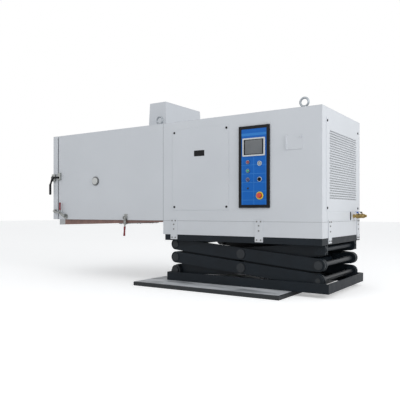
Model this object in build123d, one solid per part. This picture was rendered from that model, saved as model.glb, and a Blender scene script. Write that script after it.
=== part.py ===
"""Climatic test chamber for combined vibration testing, standing on a double scissor lift.

The frame: +X runs along the front to the right, -Y is the front, +Z is up. The origin is on the
floor, under the middle of the machine compartment and of the cabinet's depth. Sizes are in mm.
"""
import os
from math import atan2, cos, degrees, hypot, pi, radians, sin

from build123d import *

# Cabinet
COMPARTMENT_LENGTH = 1488.0
CHAMBER_LENGTH = 1392.0
CABINET_DEPTH = 960.0
CABINET_HEIGHT = 877.0
PLINTH_HEIGHT = 123.0
SHEET = 2.5
PLINTH_SHEET = 4.0
PLINTH_LIP = 60.0
INSULATION = 98.0
LINER_SHEET = 1.5

# Lift
ARM_LENGTH = 1345.0
REST_ANGLE = 4.95
ARM_HALF_HEIGHT = 50.0
ARM_THICKNESS = 25.0
ARM_GAP = 12.0
ARM_SPREAD = 420.0
RIGHT_PIN_INSET = 50.0
BASE_PIN_RISE = 93.0
PIN_TO_FRAME = 38.0
SHAFT_RADIUS = 20.0
AXLE_RADIUS = 15.0
CENTRE_PIN_RADIUS = 25.0
RUNNING_CLEARANCE = 0.3
OPEN_PIVOT_CLEARANCE = 1.0
SIDE_CLEARANCE = 2.0
COLLAR_THICKNESS = 7.0
COLLAR_RIM = 14.0
ROLLER_RADIUS = 45.0
ROLLER_WIDTH = 36.0
ROLLER_CLEARANCE = 0.4
LUG_THICKNESS = 14.0
LUG_HALF_WIDTH = 45.0
CROSS_TUBE_RADIUS = 30.0
CROSS_TUBE_WALL = 6.0
CROSS_TUBE_PLACES = (0.14, 0.86)
TRACK_STOP = 244.0

# Base plate and base frame
PLATE_SIZE = 1400.0
PLATE_HEIGHT = 35.0
PLATE_EDGE = 3.0
PLATE_LEFT_OVERHANG = 185.0
RAIL_HEIGHT = 75.0
RAIL_SHEET = 10.0
RAIL_OUTER = 451.0
RAIL_INNER = 341.0
FRAME_LEFT_INSET = 23.0
BASE_RIGHT_OVERHANG = 40.0
EYE_MAJOR = 33.0
EYE_MINOR = 8.5
EYE_SHANK = 9.0
EYE_COLLAR = 18.0
PLATE_EYE_INSET = 52.0
PLATE_EYE_SPREAD = 154.0

# Platform frame and its mounting brackets
FRAME_HEIGHT = 52.0
FRAME_SHEET = 8.0
FRAME_LIP = 70.0
CROSS_MEMBER_PLACES = (0.33, 0.67)
BRACKET_WIDTH = 71.0
BRACKET_HEIGHT = 180.0
BRACKET_THICKNESS = 6.0
BRACKET_TOP_ABOVE_PLINTH = 15.0
BRACKET_SCREW_RADIUS = 6.0
BRACKET_SCREW_HEAD = 4.0
FRONT_BRACKET_1 = -621.0
FRONT_BRACKET_2 = 222.0
SIDE_BRACKET_1 = -317.0
SIDE_BRACKET_2 = 418.0

# Cylinders
CYLINDER_SPREAD = 140.0
CYLINDER_FOOT_FROM_PIN = 490.0
CYLINDER_FOOT_Z = 85.0
CYLINDER_EYE_ALONG_ARM = 530.0
CYLINDER_SEAT_BEFORE_EYE = 62.0
CYLINDER_EYE_ABOVE_ARM = 30.0
CYLINDER_RADIUS = 35.0
CYLINDER_BORE = 27.0
CYLINDER_LENGTH = 200.0
CYLINDER_NECK = 62.0
CYLINDER_CAP = 18.0
PISTON_LENGTH = 30.0
ROD_RADIUS = 16.0
ROD_TAIL = 115.0
CYLINDER_PIN_RADIUS = 12.0
CYLINDER_EYE_RADIUS = 28.0
CYLINDER_EYE_WIDTH = 34.0
CYLINDER_EYE_CLEARANCE = 2.2
CYLINDER_LUG = 12.0
CYLINDER_LUG_GAP = 2.0
CYLINDER_LUG_RADIUS = 27.0

# Panels of the machine compartment
PANEL_SHEET = 2.0
PANEL_RIM = 35.0
ACCESS_LEFT = -639.0
ACCESS_WIDTH = 582.0
ACCESS_BOTTOM = 93.0
ACCESS_HEIGHT = 714.0
VENT_FRONT = 85.0
VENT_DEPTH = 830.0
VENT_BOTTOM = 80.0
VENT_HEIGHT = 722.0
VENT_FIELD_MARGIN = 70.0
VENT_FIELD_BOTTOM = 95.0
VENT_FIELD_HEIGHT = 536.0
VENT_HOLE_RADIUS = 13.0
VENT_PITCH = 38.0
PANEL_SCREW_RADIUS = 7.0
PANEL_SCREW_HEAD = 4.0
PANEL_SCREW_SIDE = 22.0
PANEL_SCREW_END = 28.0

# Behind the vent
COIL_THICKNESS = 44.0
COIL_WIDTH = 680.0
COIL_HEIGHT = 560.0
COIL_BOTTOM = 90.0
COIL_FROM_VENT = 45.0
COIL_PLATE = 3.0
FAN_RADIUS = 210.0
FAN_DEPTH = 40.0
FAN_HUB_RADIUS = 50.0
FAN_SHAFT_RADIUS = 8.0
FAN_SHAFT_DEPTH = 30.0
FAN_GAP = 25.0
FAN_BLADES = 5
FAN_MOTOR_RADIUS = 60.0
FAN_MOTOR_LENGTH = 90.0
FAN_BAR = 30.0
COMPRESSOR_RADIUS = 90.0
COMPRESSOR_HEIGHT = 300.0
COMPRESSOR_X = -150.0
COMPRESSOR_SPREAD = 190.0
COMPRESSOR_FOOT = 30.0

# Motor cover and circulation fan
COVER_FROM_JOINT = 181.0
COVER_Y = -40.0
COVER_WIDTH = 190.0
COVER_LENGTH = 580.0
COVER_HEIGHT = 238.0
COVER_FLARE = 8.0
BLOWER_FROM_JOINT = 197.0
BLOWER_Y = -40.0
BLOWER_RADIUS = 80.0
BLOWER_HEIGHT = 90.0
BLOWER_BLADES = 10
BLOWER_BELOW_ROOF = 60.0
BLOWER_SHAFT = 10.0
BLOWER_HUB = 25.0
MOTOR_RADIUS = 62.0
MOTOR_HEIGHT = 150.0
MOTOR_FLANGE = 72.0
MOTOR_FLANGE_THICKNESS = 10.0

# Chamber inside
PLENUM_DEPTH = 296.0
BAFFLE_SHEET = 2.0
BAFFLE_SLOT_HEIGHT = 70.0
BAFFLE_SLOT_WIDTH = 300.0
BAFFLE_OUTLET_RADIUS = 62.0
BAFFLE_OUTLET_SPREAD = 190.0
EVAPORATOR_THICKNESS = 60.0
EVAPORATOR_WIDTH = 560.0
EVAPORATOR_HEIGHT = 260.0
LIFTING_EYE_INSET_X = 155.0
LIFTING_EYE_INSET_Y = 40.0
LIFTING_EYE_SPAN = 1404.0

# Floor of the chamber
FLOOR_DEPTH_LEFT = 56.0
FLOOR_DEPTH_RIGHT = 15.0
FLOOR_END_RAIL = 85.0
FLOOR_SEAL_WIDTH = 28.0
FLOOR_SETBACK = 12.0
FLOOR_PLUG_HEIGHT = 75.0
FLOOR_SHEET = 3.0
PORT_COVER_RADIUS = 210.0
PORT_COVER_THICKNESS = 8.0
PORT_SCREW_CIRCLE = 185.0
PORT_SCREWS = 8
SPIGOT_RADIUS = 11.0
SPIGOT_LENGTH = 40.0

# Test port
PORT_FROM_FACE = 542.0
PORT_ABOVE_PLINTH = 385.0
PORT_FLANGE_RADIUS = 45.0
PORT_FLANGE_THICKNESS = 8.0
PORT_TUBE_RADIUS = 31.0
PORT_BORE_RADIUS = 26.0
PLUG_CLEARANCE = 0.4
PLUG_HEAD_RADIUS = 33.0
PLUG_HEAD_THICKNESS = 10.0

# Door
DOOR_THICKNESS = 67.5
DOOR_GAP = 17.0
DOOR_SHEET = 2.0
GASKET_WIDTH = 36.0
GASKET_INSET = 12.0
GASKET_CLEARANCE = 0.3
HINGE_STANDOFF = 14.0
HINGE_BARREL = 12.0
HINGE_PIN = 6.0
HINGE_KNUCKLE = 45.0
HINGE_LEAF = 70.0
HINGE_LEAF_THICKNESS = 5.0
HINGE_HEIGHTS = (190.0, 640.0)

# Door latch
LATCH_FROM_DOOR_FACE = 19.5
LATCH_HEIGHT = 439.0
LATCH_WIDTH = 42.0
LATCH_LENGTH = 76.0
LATCH_DEPTH = 25.0
LATCH_BOSS_RADIUS = 15.0
LATCH_PIN_RADIUS = 5.0
LATCH_LEVER_THICKNESS = 12.0
LATCH_NOSE_HEIGHT = 20.0
LATCH_NOSE_REACH = 90.0
KEEPER_WIDTH = 38.0
KEEPER_HEIGHT = 74.0
KEEPER_INSET = 2.0
LEVER_DROP = 80.0
LEVER_BACK = 33.0
GRIP_LENGTH = 88.0
GRIP_RADIUS = 12.0
LEVER_NECK_RADIUS = 8.0
PART_GAP = 1.0

# Door clamp and floor clamp
CLAMP_FROM_FACE = 113.0
CLAMP_ABOVE_PLINTH = 31.0
CLAMP_BASE_RADIUS = 26.0
CLAMP_BASE_DEPTH = 10.0
CLAMP_PIN_RADIUS = 6.0
CLAMP_ARM = 74.0
CLAMP_ARM_ANGLE = 150.0
CLAMP_BAR = 6.0
CLAMP_GRIP_RADIUS = 8.0
CLAMP_GRIP_LENGTH = 78.0
CLAMP_GRIP_STEM = 30.0
CLAMP_HOOK_LENGTH = 92.0
CLAMP_HOOK_RISE = 18.0
CLAMP_HOOK_HEIGHT = 14.0
CATCH_WIDTH = 24.0
CATCH_HEIGHT = 36.0
FLOOR_CLAMP_FROM_JOINT = 449.0
FLOOR_CLAMP_WIDTH = 38.0
FLOOR_CLAMP_HEIGHT = 57.0
FLOOR_CLAMP_PIVOT_RISE = 24.0
FLOOR_CLAMP_EAR = 5.0
FLOOR_CLAMP_HANDLE = 175.0
FLOOR_CLAMP_GRIP = 90.0
FLOOR_CLAMP_CRANK = 22.0
FLOOR_CLAMP_HOOK = 45.0
FLOOR_CATCH_WIDTH = 12.0
FLOOR_CATCH_THICKNESS = 5.4
FLOOR_CATCH_REACH = 23.0
FLOOR_CLAMP_STANDOFF = 16.0
FLOOR_CLAMP_TILT = 4.0

# Control panel
CONTROL_LEFT = 43.0
CONTROL_WIDTH = 275.0
CONTROL_BOTTOM = 110.0
CONTROL_HEIGHT = 661.0
CONTROL_DEPTH = 10.0
CONTROL_RIM = 24.0
CONTROL_RIM_RISE = 3.0
SCREEN_WIDTH = 200.0
SCREEN_HEIGHT = 146.0
SCREEN_BEZEL = 11.0
SCREEN_DEPTH = 8.0
SCREEN_TOP = 99.0
BUTTON_RADIUS = 11.0
BUTTON_CLEARANCE = 0.4
BUTTON_COLLAR = 15.5
BUTTON_COLLAR_RISE = 5.0
BUTTON_RISE = 11.0
BUTTON_STEM = 18.0
BUTTON_COLUMN = 53.0
BUTTON_FIRST = 292.0
BUTTON_PITCH = 70.5
ESTOP_DROP = 563.0
ESTOP_RING = 30.0
ESTOP_HEAD = 20.0
ESTOP_HEAD_RISE = 26.0
ESTOP_HEAD_HEIGHT = 16.0
ESTOP_STEM = 11.0
KNOB_RADIUS = 14.0
KNOB_RISE = 18.0
KNOB_BAR = 8.0

# Small hatch
HATCH_LEFT = 461.0
HATCH_WIDTH = 130.0
HATCH_BOTTOM = 558.0
HATCH_HEIGHT = 110.0
HATCH_SHEET = 3.0
HATCH_KNOB_RADIUS = 7.0
HATCH_KNOB_LENGTH = 12.0
HATCH_KNUCKLE = 4.5
HATCH_PIN = 2.0

# Water valves on the right side
VALVE_POSITIONS = (290.0, 400.0)
VALVE_ABOVE_PLINTH = 42.0
VALVE_PIPE = 11.0
VALVE_LENGTH = 84.0
VALVE_BODY = 19.0
VALVE_BODY_FROM_WALL = 44.0
VALVE_NUT = 17.0
VALVE_NUT_LENGTH = 14.0
VALVE_STEM = 5.0
VALVE_STEM_RISE = 30.0
VALVE_LEVER_LENGTH = 66.0
VALVE_LEVER_WIDTH = 16.0
VALVE_LEVER_THICKNESS = 4.0
VALVE_LEVER_BEND = 10.0

# Levels and planes worked out from the sizes above
STAGE_RISE = ARM_LENGTH * sin(radians(REST_ANGLE))
BASE_PIN_Z = PLATE_HEIGHT + BASE_PIN_RISE
MID_PIN_Z = BASE_PIN_Z + STAGE_RISE
TOP_PIN_Z = MID_PIN_Z + STAGE_RISE
FRAME_BOTTOM = TOP_PIN_Z + PIN_TO_FRAME
FRAME_TOP = FRAME_BOTTOM + FRAME_HEIGHT
PLINTH_TOP = FRAME_TOP + PLINTH_HEIGHT
CABINET_TOP = PLINTH_TOP + CABINET_HEIGHT
RIGHT_FACE = COMPARTMENT_LENGTH / 2
JOINT_FACE = -COMPARTMENT_LENGTH / 2
CHAMBER_FACE = JOINT_FACE - CHAMBER_LENGTH
BLOWER_X = JOINT_FACE - BLOWER_FROM_JOINT
COVER_X = JOINT_FACE - COVER_FROM_JOINT
PORT_X = CHAMBER_FACE + PORT_FROM_FACE
CLAMP_X = CHAMBER_FACE + CLAMP_FROM_FACE
FLOOR_CLAMP_X = JOINT_FACE - FLOOR_CLAMP_FROM_JOINT
HALF_DEPTH = CABINET_DEPTH / 2
FRONT = -HALF_DEPTH
PIN_RIGHT_X = RIGHT_FACE - RIGHT_PIN_INSET
PIN_LEFT_X = PIN_RIGHT_X - ARM_LENGTH * cos(radians(REST_ANGLE))
FRAME_LEFT = JOINT_FACE + FRAME_LEFT_INSET
BASE_RIGHT = RIGHT_FACE + BASE_RIGHT_OVERHANG
PLATE_LEFT = FRAME_LEFT - PLATE_LEFT_OVERHANG
OUTER_ARM = (ARM_SPREAD - ARM_THICKNESS, ARM_SPREAD)
INNER_ARM = (OUTER_ARM[0] - ARM_GAP - ARM_THICKNESS, OUTER_ARM[0] - ARM_GAP)
LOWER_ROLLER = (INNER_ARM[1] + SIDE_CLEARANCE, INNER_ARM[1] + SIDE_CLEARANCE + ROLLER_WIDTH)
UPPER_ROLLER = (OUTER_ARM[0] - SIDE_CLEARANCE - ROLLER_WIDTH, OUTER_ARM[0] - SIDE_CLEARANCE)
DOOR_INNER = CHAMBER_FACE - DOOR_GAP
DOOR_OUTER = DOOR_INNER - DOOR_THICKNESS
HINGE_X = CHAMBER_FACE - DOOR_GAP / 2
HINGE_Y = HALF_DEPTH + HINGE_STANDOFF
WALL = SHEET + INSULATION + LINER_SHEET
BAFFLE_X = JOINT_FACE - PLENUM_DEPTH
CYLINDER_FOOT_X = PIN_RIGHT_X - CYLINDER_FOOT_FROM_PIN


def slab(x0, x1, y0, y1, z0, z1):
    """A box between six planes."""
    centre = Pos((x0 + x1) / 2, (y0 + y1) / 2, (z0 + z1) / 2)
    return centre * Box(abs(x1 - x0), abs(y1 - y0), abs(z1 - z0))


def plate_xz(sketch, y0, y1):
    """A sketch drawn in X and Z, as a plate between two planes across Y."""
    near, far = sorted((y0, y1))
    plane = Plane(origin=(0, far, 0), x_dir=(1, 0, 0), z_dir=(0, -1, 0))
    return extrude(plane * sketch, amount=far - near)


def plate_yz(sketch, x0, x1):
    """A sketch drawn in Y and Z, as a plate between two planes across X."""
    near, far = sorted((x0, x1))
    plane = Plane(origin=(near, 0, 0), x_dir=(0, 1, 0), z_dir=(1, 0, 0))
    return extrude(plane * sketch, amount=far - near)


def rod_x(y, z, x0, x1, radius):
    """A round bar along X."""
    return plate_yz(Pos(y, z) * Circle(radius), x0, x1)


def rod_y(x, z, y0, y1, radius):
    """A round bar along Y."""
    return plate_xz(Pos(x, z) * Circle(radius), y0, y1)


def rod_z(x, y, z0, z1, radius):
    """A round bar along Z."""
    return Pos(x, y, (z0 + z1) / 2) * Cylinder(radius, abs(z1 - z0))


def ring_y(x, z, y0, y1, outer, inner):
    """A round ring across Y."""
    return plate_xz(Pos(x, z) * (Circle(outer) - Circle(inner)), y0, y1)


def tray(x0, x1, y0, y1, z0, z1, wall):
    """Four upright walls around a rectangle."""
    inner = slab(x0 + wall, x1 - wall, y0 + wall, y1 - wall, z0 - 1, z1 + 1)
    return slab(x0, x1, y0, y1, z0, z1) - inner


def group(solids):
    """Several solids as one node."""
    found = []
    for item in solids:
        found.extend(item.solids())
    return Compound(children=[Solid(s.wrapped) for s in found])


def both_sides(band):
    """The front and the back copy of a band of distances from the middle plane."""
    return [(-band[1], -band[0]), (band[0], band[1])]


def along_arm(start, end, distance, above=0.0):
    """A point at a distance along an arm and above its middle line."""
    turn = atan2(end[1] - start[1], end[0] - start[0])
    x = start[0] + distance * cos(turn) - above * sin(turn)
    z = start[1] + distance * sin(turn) + above * cos(turn)
    return x, z


LOWER_RIGHT = (PIN_RIGHT_X, BASE_PIN_Z)
LOWER_LEFT = (PIN_LEFT_X, BASE_PIN_Z)
MID_RIGHT = (PIN_RIGHT_X, MID_PIN_Z)
MID_LEFT = (PIN_LEFT_X, MID_PIN_Z)
TOP_RIGHT = (PIN_RIGHT_X, TOP_PIN_Z)
TOP_LEFT = (PIN_LEFT_X, TOP_PIN_Z)
LOWER_CENTRE = ((PIN_LEFT_X + PIN_RIGHT_X) / 2, (BASE_PIN_Z + MID_PIN_Z) / 2)
UPPER_CENTRE = ((PIN_LEFT_X + PIN_RIGHT_X) / 2, (MID_PIN_Z + TOP_PIN_Z) / 2)


def arm(start, end, holes, band):
    """A flat bar with round ends and a hole at each pivot."""
    turn = degrees(atan2(end[1] - start[1], end[0] - start[0]))
    middle = ((start[0] + end[0]) / 2, (start[1] + end[1]) / 2)
    outline = Pos(*middle) * Rot(0, 0, turn) * SlotCenterToCenter(ARM_LENGTH, 2 * ARM_HALF_HEIGHT)
    for point, radius in holes:
        outline -= Pos(*point) * Circle(radius)
    return plate_xz(outline, *band)


def arm_pair(start, end, holes, band):
    """The front and the back bar of one pair of arms."""
    return [arm(start, end, holes, side) for side in both_sides(band)]


def collars(point, radius, from_y):
    """A retaining collar outside the front and the back face of something."""
    band = (from_y, from_y + COLLAR_THICKNESS)
    rim = radius + COLLAR_RIM
    return [rod_y(point[0], point[1], y0, y1, rim) for y0, y1 in both_sides(band)]


def through_shaft(point, radius, reach):
    """A shaft from the front pack of arms to the back pack."""
    return rod_y(point[0], point[1], -reach, reach, radius)


def lower_outer_arms():
    holes = [(LOWER_RIGHT, SHAFT_RADIUS), (LOWER_CENTRE, CENTRE_PIN_RADIUS), (MID_LEFT, SHAFT_RADIUS)]
    return arm_pair(LOWER_RIGHT, MID_LEFT, holes, OUTER_ARM)


def centre_pins(point):
    """Short pins of the outer arms that carry the inner arms, with a head at each end."""
    solids = []
    head = CENTRE_PIN_RADIUS + COLLAR_RIM
    inner_face = INNER_ARM[0] - PART_GAP
    for side in (-1, 1):
        pin = rod_y(*point, side * (inner_face - COLLAR_THICKNESS), side * ARM_SPREAD, CENTRE_PIN_RADIUS)
        pin += rod_y(*point, side * (inner_face - COLLAR_THICKNESS), side * inner_face, head)
        pin += rod_y(*point, side * ARM_SPREAD, side * (ARM_SPREAD + COLLAR_THICKNESS), head)
        solids.append(pin)
    return solids


def lower_outer_pins():
    mid = through_shaft(MID_LEFT, SHAFT_RADIUS, ARM_SPREAD)
    for collar in collars(MID_LEFT, SHAFT_RADIUS, ARM_SPREAD):
        mid += collar
    lug_face = ARM_SPREAD + SIDE_CLEARANCE + LUG_THICKNESS
    foot = through_shaft(LOWER_RIGHT, SHAFT_RADIUS, lug_face + SIDE_CLEARANCE)
    return [mid, foot] + centre_pins(LOWER_CENTRE)


def cross_tube(point):
    """A tube welded between the two inner arms."""
    reach = INNER_ARM[0]
    return ring_y(*point, -reach, reach, CROSS_TUBE_RADIUS, CROSS_TUBE_RADIUS - CROSS_TUBE_WALL)


def cylinder_eye_point():
    return along_arm(LOWER_LEFT, MID_RIGHT, CYLINDER_EYE_ALONG_ARM, CYLINDER_EYE_ABOVE_ARM)


def cylinder_lug_bands(y):
    """The two bands across Y of the lugs that hold a cylinder's eye."""
    half = CYLINDER_EYE_WIDTH / 2 + CYLINDER_LUG_GAP
    return [(y - half - CYLINDER_LUG, y - half), (y + half, y + half + CYLINDER_LUG)]


def hull_lug(low, high, low_radius, high_radius, band):
    """A lug that tapers from one round end to another."""
    outline = make_hull((Pos(*low) * Circle(low_radius)).edges() + (Pos(*high) * Circle(high_radius)).edges())
    return plate_xz(outline, *band)


def lower_inner_frame():
    """Two bars, three cross tubes, and the lugs and pins that take the cylinders' eyes."""
    clear_pin = CENTRE_PIN_RADIUS + RUNNING_CLEARANCE
    holes = [(LOWER_LEFT, AXLE_RADIUS), (LOWER_CENTRE, clear_pin), (MID_RIGHT, SHAFT_RADIUS)]
    solids = arm_pair(LOWER_LEFT, MID_RIGHT, holes, INNER_ARM)
    seat = along_arm(LOWER_LEFT, MID_RIGHT, CYLINDER_EYE_ALONG_ARM - CYLINDER_SEAT_BEFORE_EYE)
    solids.append(cross_tube(seat))
    for share in CROSS_TUBE_PLACES:
        solids.append(cross_tube(along_arm(LOWER_LEFT, MID_RIGHT, share * ARM_LENGTH)))
    eye = cylinder_eye_point()
    for y in (-CYLINDER_SPREAD, CYLINDER_SPREAD):
        bands = cylinder_lug_bands(y)
        for band in bands:
            lug = hull_lug(seat, eye, CROSS_TUBE_RADIUS, CYLINDER_LUG_RADIUS, band)
            lug -= rod_y(*seat, *band, CROSS_TUBE_RADIUS)
            solids.append(lug - rod_y(*eye, *band, CYLINDER_PIN_RADIUS))
        solids.append(rod_y(*eye, bands[0][0], bands[1][1], CYLINDER_PIN_RADIUS))
    return solids


def lower_inner_pins():
    roller_face = LOWER_ROLLER[1] + PART_GAP
    axle = through_shaft(LOWER_LEFT, AXLE_RADIUS, roller_face)
    for collar in collars(LOWER_LEFT, AXLE_RADIUS, roller_face):
        axle += collar
    shaft = through_shaft(MID_RIGHT, SHAFT_RADIUS, ARM_SPREAD + PART_GAP)
    for collar in collars(MID_RIGHT, SHAFT_RADIUS, ARM_SPREAD + PART_GAP):
        shaft += collar
    return [axle, shaft]


def upper_inner_frame():
    """Two bars, two cross tubes and the upper right shaft."""
    clear_shaft = SHAFT_RADIUS + RUNNING_CLEARANCE
    clear_pin = CENTRE_PIN_RADIUS + RUNNING_CLEARANCE
    holes = [(MID_LEFT, clear_shaft), (UPPER_CENTRE, clear_pin), (TOP_RIGHT, SHAFT_RADIUS)]
    solids = arm_pair(MID_LEFT, TOP_RIGHT, holes, INNER_ARM)
    lug_face = INNER_ARM[1] + SIDE_CLEARANCE + LUG_THICKNESS + SIDE_CLEARANCE
    solids.append(through_shaft(TOP_RIGHT, SHAFT_RADIUS, lug_face))
    for share in CROSS_TUBE_PLACES:
        solids.append(cross_tube(along_arm(MID_LEFT, TOP_RIGHT, share * ARM_LENGTH)))
    return solids


def upper_outer_arms():
    open_pivot = SHAFT_RADIUS + OPEN_PIVOT_CLEARANCE
    holes = [(MID_RIGHT, open_pivot), (UPPER_CENTRE, CENTRE_PIN_RADIUS), (TOP_LEFT, AXLE_RADIUS)]
    return arm_pair(MID_RIGHT, TOP_LEFT, holes, OUTER_ARM)


def upper_outer_pins():
    axle = through_shaft(TOP_LEFT, AXLE_RADIUS, ARM_SPREAD)
    for collar in collars(TOP_LEFT, AXLE_RADIUS, ARM_SPREAD):
        axle += collar
    inner_face = UPPER_ROLLER[0] - PART_GAP - COLLAR_THICKNESS
    for collar in collars(TOP_LEFT, AXLE_RADIUS, inner_face):
        axle += collar
    return [axle] + centre_pins(UPPER_CENTRE)


def rollers(point, band):
    """A pair of rollers, each with a shallow dish in both faces."""
    solids = []
    dish = ROLLER_WIDTH / 6
    for y0, y1 in both_sides(band):
        wheel = ring_y(*point, y0, y1, ROLLER_RADIUS, AXLE_RADIUS + RUNNING_CLEARANCE)
        hub = AXLE_RADIUS + COLLAR_RIM / 2
        for face, inner in ((y0, y0 + dish), (y1 - dish, y1)):
            wheel -= ring_y(*point, face, inner, ROLLER_RADIUS * 0.8, hub)
        solids.append(wheel)
    return solids


def base_plate():
    """A thick steel plate that lies on the floor and reaches out under the chamber."""
    half = PLATE_SIZE / 2
    plate = slab(PLATE_LEFT, PLATE_LEFT + PLATE_SIZE, -half, half, 0, PLATE_HEIGHT)
    return [chamfer(plate.edges().group_by(Axis.Z)[-1], PLATE_EDGE)]


def lifting_eye(x, y, z):
    """A cast ring standing on a collar."""
    collar = rod_z(x, y, z, z + EYE_SHANK, EYE_COLLAR)
    centre = z + EYE_SHANK + EYE_MAJOR
    ring = Pos(x, y, centre) * Rot(90, 0, 0) * Torus(EYE_MAJOR, EYE_MINOR)
    return collar + ring


def plate_lifting_eyes():
    x = PLATE_LEFT + PLATE_EYE_INSET
    return [lifting_eye(x, y, PLATE_HEIGHT) for y in (-PLATE_EYE_SPREAD, PLATE_EYE_SPREAD)]


def base_lug(band):
    """A lug with a round top that holds the lower right shaft."""
    x, z = LOWER_RIGHT
    foot = PLATE_HEIGHT + RAIL_SHEET
    outline = Pos(x, (foot + z) / 2) * Rectangle(2 * LUG_HALF_WIDTH, z - foot) + Pos(x, z) * Circle(LUG_HALF_WIDTH)
    outline -= Pos(x, z) * Circle(SHAFT_RADIUS + RUNNING_CLEARANCE)
    return plate_xz(outline, *band)


def base_frame():
    """Two angle rails with roller tracks, end walls, a cylinder beam and the pivot lugs."""
    foot = PLATE_HEIGHT
    flange_top = foot + RAIL_SHEET
    rail_top = foot + RAIL_HEIGHT
    left = FRAME_LEFT + RAIL_SHEET
    right = BASE_RIGHT - RAIL_SHEET
    track_top = BASE_PIN_Z - ROLLER_RADIUS - ROLLER_CLEARANCE
    solids = [
        slab(FRAME_LEFT, left, -RAIL_OUTER, RAIL_OUTER, foot, rail_top),
        slab(right, BASE_RIGHT, -RAIL_OUTER, RAIL_OUTER, foot, rail_top),
    ]
    for y0, y1 in both_sides((RAIL_INNER, RAIL_OUTER)):
        solids.append(slab(left, right, y0, y1, foot, flange_top))
    for y0, y1 in both_sides((RAIL_OUTER - RAIL_SHEET, RAIL_OUTER)):
        solids.append(slab(left, right, y0, y1, flange_top, rail_top))
    for y0, y1 in both_sides(LOWER_ROLLER):
        solids.append(slab(left, PIN_RIGHT_X - TRACK_STOP, y0, y1, flange_top, track_top))
    outer = ARM_SPREAD + SIDE_CLEARANCE
    inner = OUTER_ARM[0] - SIDE_CLEARANCE
    for band in both_sides((outer, outer + LUG_THICKNESS)) + both_sides((inner - LUG_THICKNESS, inner)):
        solids.append(base_lug(band))
    beam = CYLINDER_LUG_RADIUS + CYLINDER_LUG
    solids.append(slab(CYLINDER_FOOT_X - beam, CYLINDER_FOOT_X + beam, -RAIL_INNER, RAIL_INNER, foot, flange_top))
    for y in (-CYLINDER_SPREAD, CYLINDER_SPREAD):
        solids.extend(cylinder_foot(y))
    return solids


def cylinder_foot(y):
    """Two lugs and the pin that carry the foot of one cylinder."""
    x, z = CYLINDER_FOOT_X, CYLINDER_FOOT_Z
    low = PLATE_HEIGHT + RAIL_SHEET
    outline = Pos(x, (low + z) / 2) * Rectangle(2 * CYLINDER_LUG_RADIUS, z - low)
    outline += Pos(x, z) * Circle(CYLINDER_LUG_RADIUS)
    outline -= Pos(x, z) * Circle(CYLINDER_PIN_RADIUS)
    bands = cylinder_lug_bands(y)
    pin = rod_y(x, z, bands[0][0], bands[1][1], CYLINDER_PIN_RADIUS)
    return [plate_xz(outline, *bands[0]), plate_xz(outline, *bands[1]), pin]


def cylinder_line():
    """Angle in degrees and length of the closed cylinder, from its foot pin to its eye."""
    eye = cylinder_eye_point()
    dx = eye[0] - CYLINDER_FOOT_X
    dz = eye[1] - CYLINDER_FOOT_Z
    return degrees(atan2(dz, dx)), hypot(dx, dz)


def on_cylinder_line(solid, y):
    """A solid drawn along +X from the foot pin, turned onto the cylinder's line."""
    turn, _ = cylinder_line()
    return Pos(CYLINDER_FOOT_X, y, CYLINDER_FOOT_Z) * Rot(0, -turn, 0) * solid


def lift_cylinders():
    half = CYLINDER_EYE_WIDTH / 2
    bore = CYLINDER_PIN_RADIUS + RUNNING_CLEARANCE
    start = CYLINDER_NECK
    end = CYLINDER_NECK + CYLINDER_LENGTH
    barrel = rod_x(0, 0, start, end, CYLINDER_RADIUS)
    barrel += rod_x(0, 0, 0, start, half)
    barrel += rod_y(0, 0, -half, half, CYLINDER_EYE_RADIUS)
    barrel -= rod_x(0, 0, start + CYLINDER_CAP, end - CYLINDER_CAP, CYLINDER_BORE)
    barrel -= rod_x(0, 0, start + CYLINDER_CAP, end + 1, ROD_RADIUS + RUNNING_CLEARANCE)
    barrel -= rod_y(0, 0, -half, half, bore)
    return [on_cylinder_line(barrel, y) for y in (-CYLINDER_SPREAD, CYLINDER_SPREAD)]


def lift_rods():
    _, length = cylinder_line()
    half = CYLINDER_EYE_WIDTH / 2
    bore = CYLINDER_PIN_RADIUS + CYLINDER_EYE_CLEARANCE
    piston = ROD_TAIL - PISTON_LENGTH
    rod = rod_x(0, 0, piston, length, ROD_RADIUS)
    rod += rod_x(0, 0, piston, ROD_TAIL, CYLINDER_BORE - RUNNING_CLEARANCE)
    rod += rod_y(length, 0, -half, half, CYLINDER_EYE_RADIUS)
    rod -= rod_y(length, 0, -half, half, bore)
    return [on_cylinder_line(rod, y) for y in (-CYLINDER_SPREAD, CYLINDER_SPREAD)]


def platform_lug(band):
    """A square lug that hangs from the platform frame and holds the upper right shaft."""
    x, z = TOP_RIGHT
    low = z - LUG_HALF_WIDTH + COLLAR_THICKNESS
    high = FRAME_TOP - FRAME_SHEET
    outline = Pos(x, (low + high) / 2) * Rectangle(2 * LUG_HALF_WIDTH, high - low)
    outline -= Pos(x, z) * Circle(SHAFT_RADIUS + RUNNING_CLEARANCE)
    return plate_xz(outline, *band)


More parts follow.
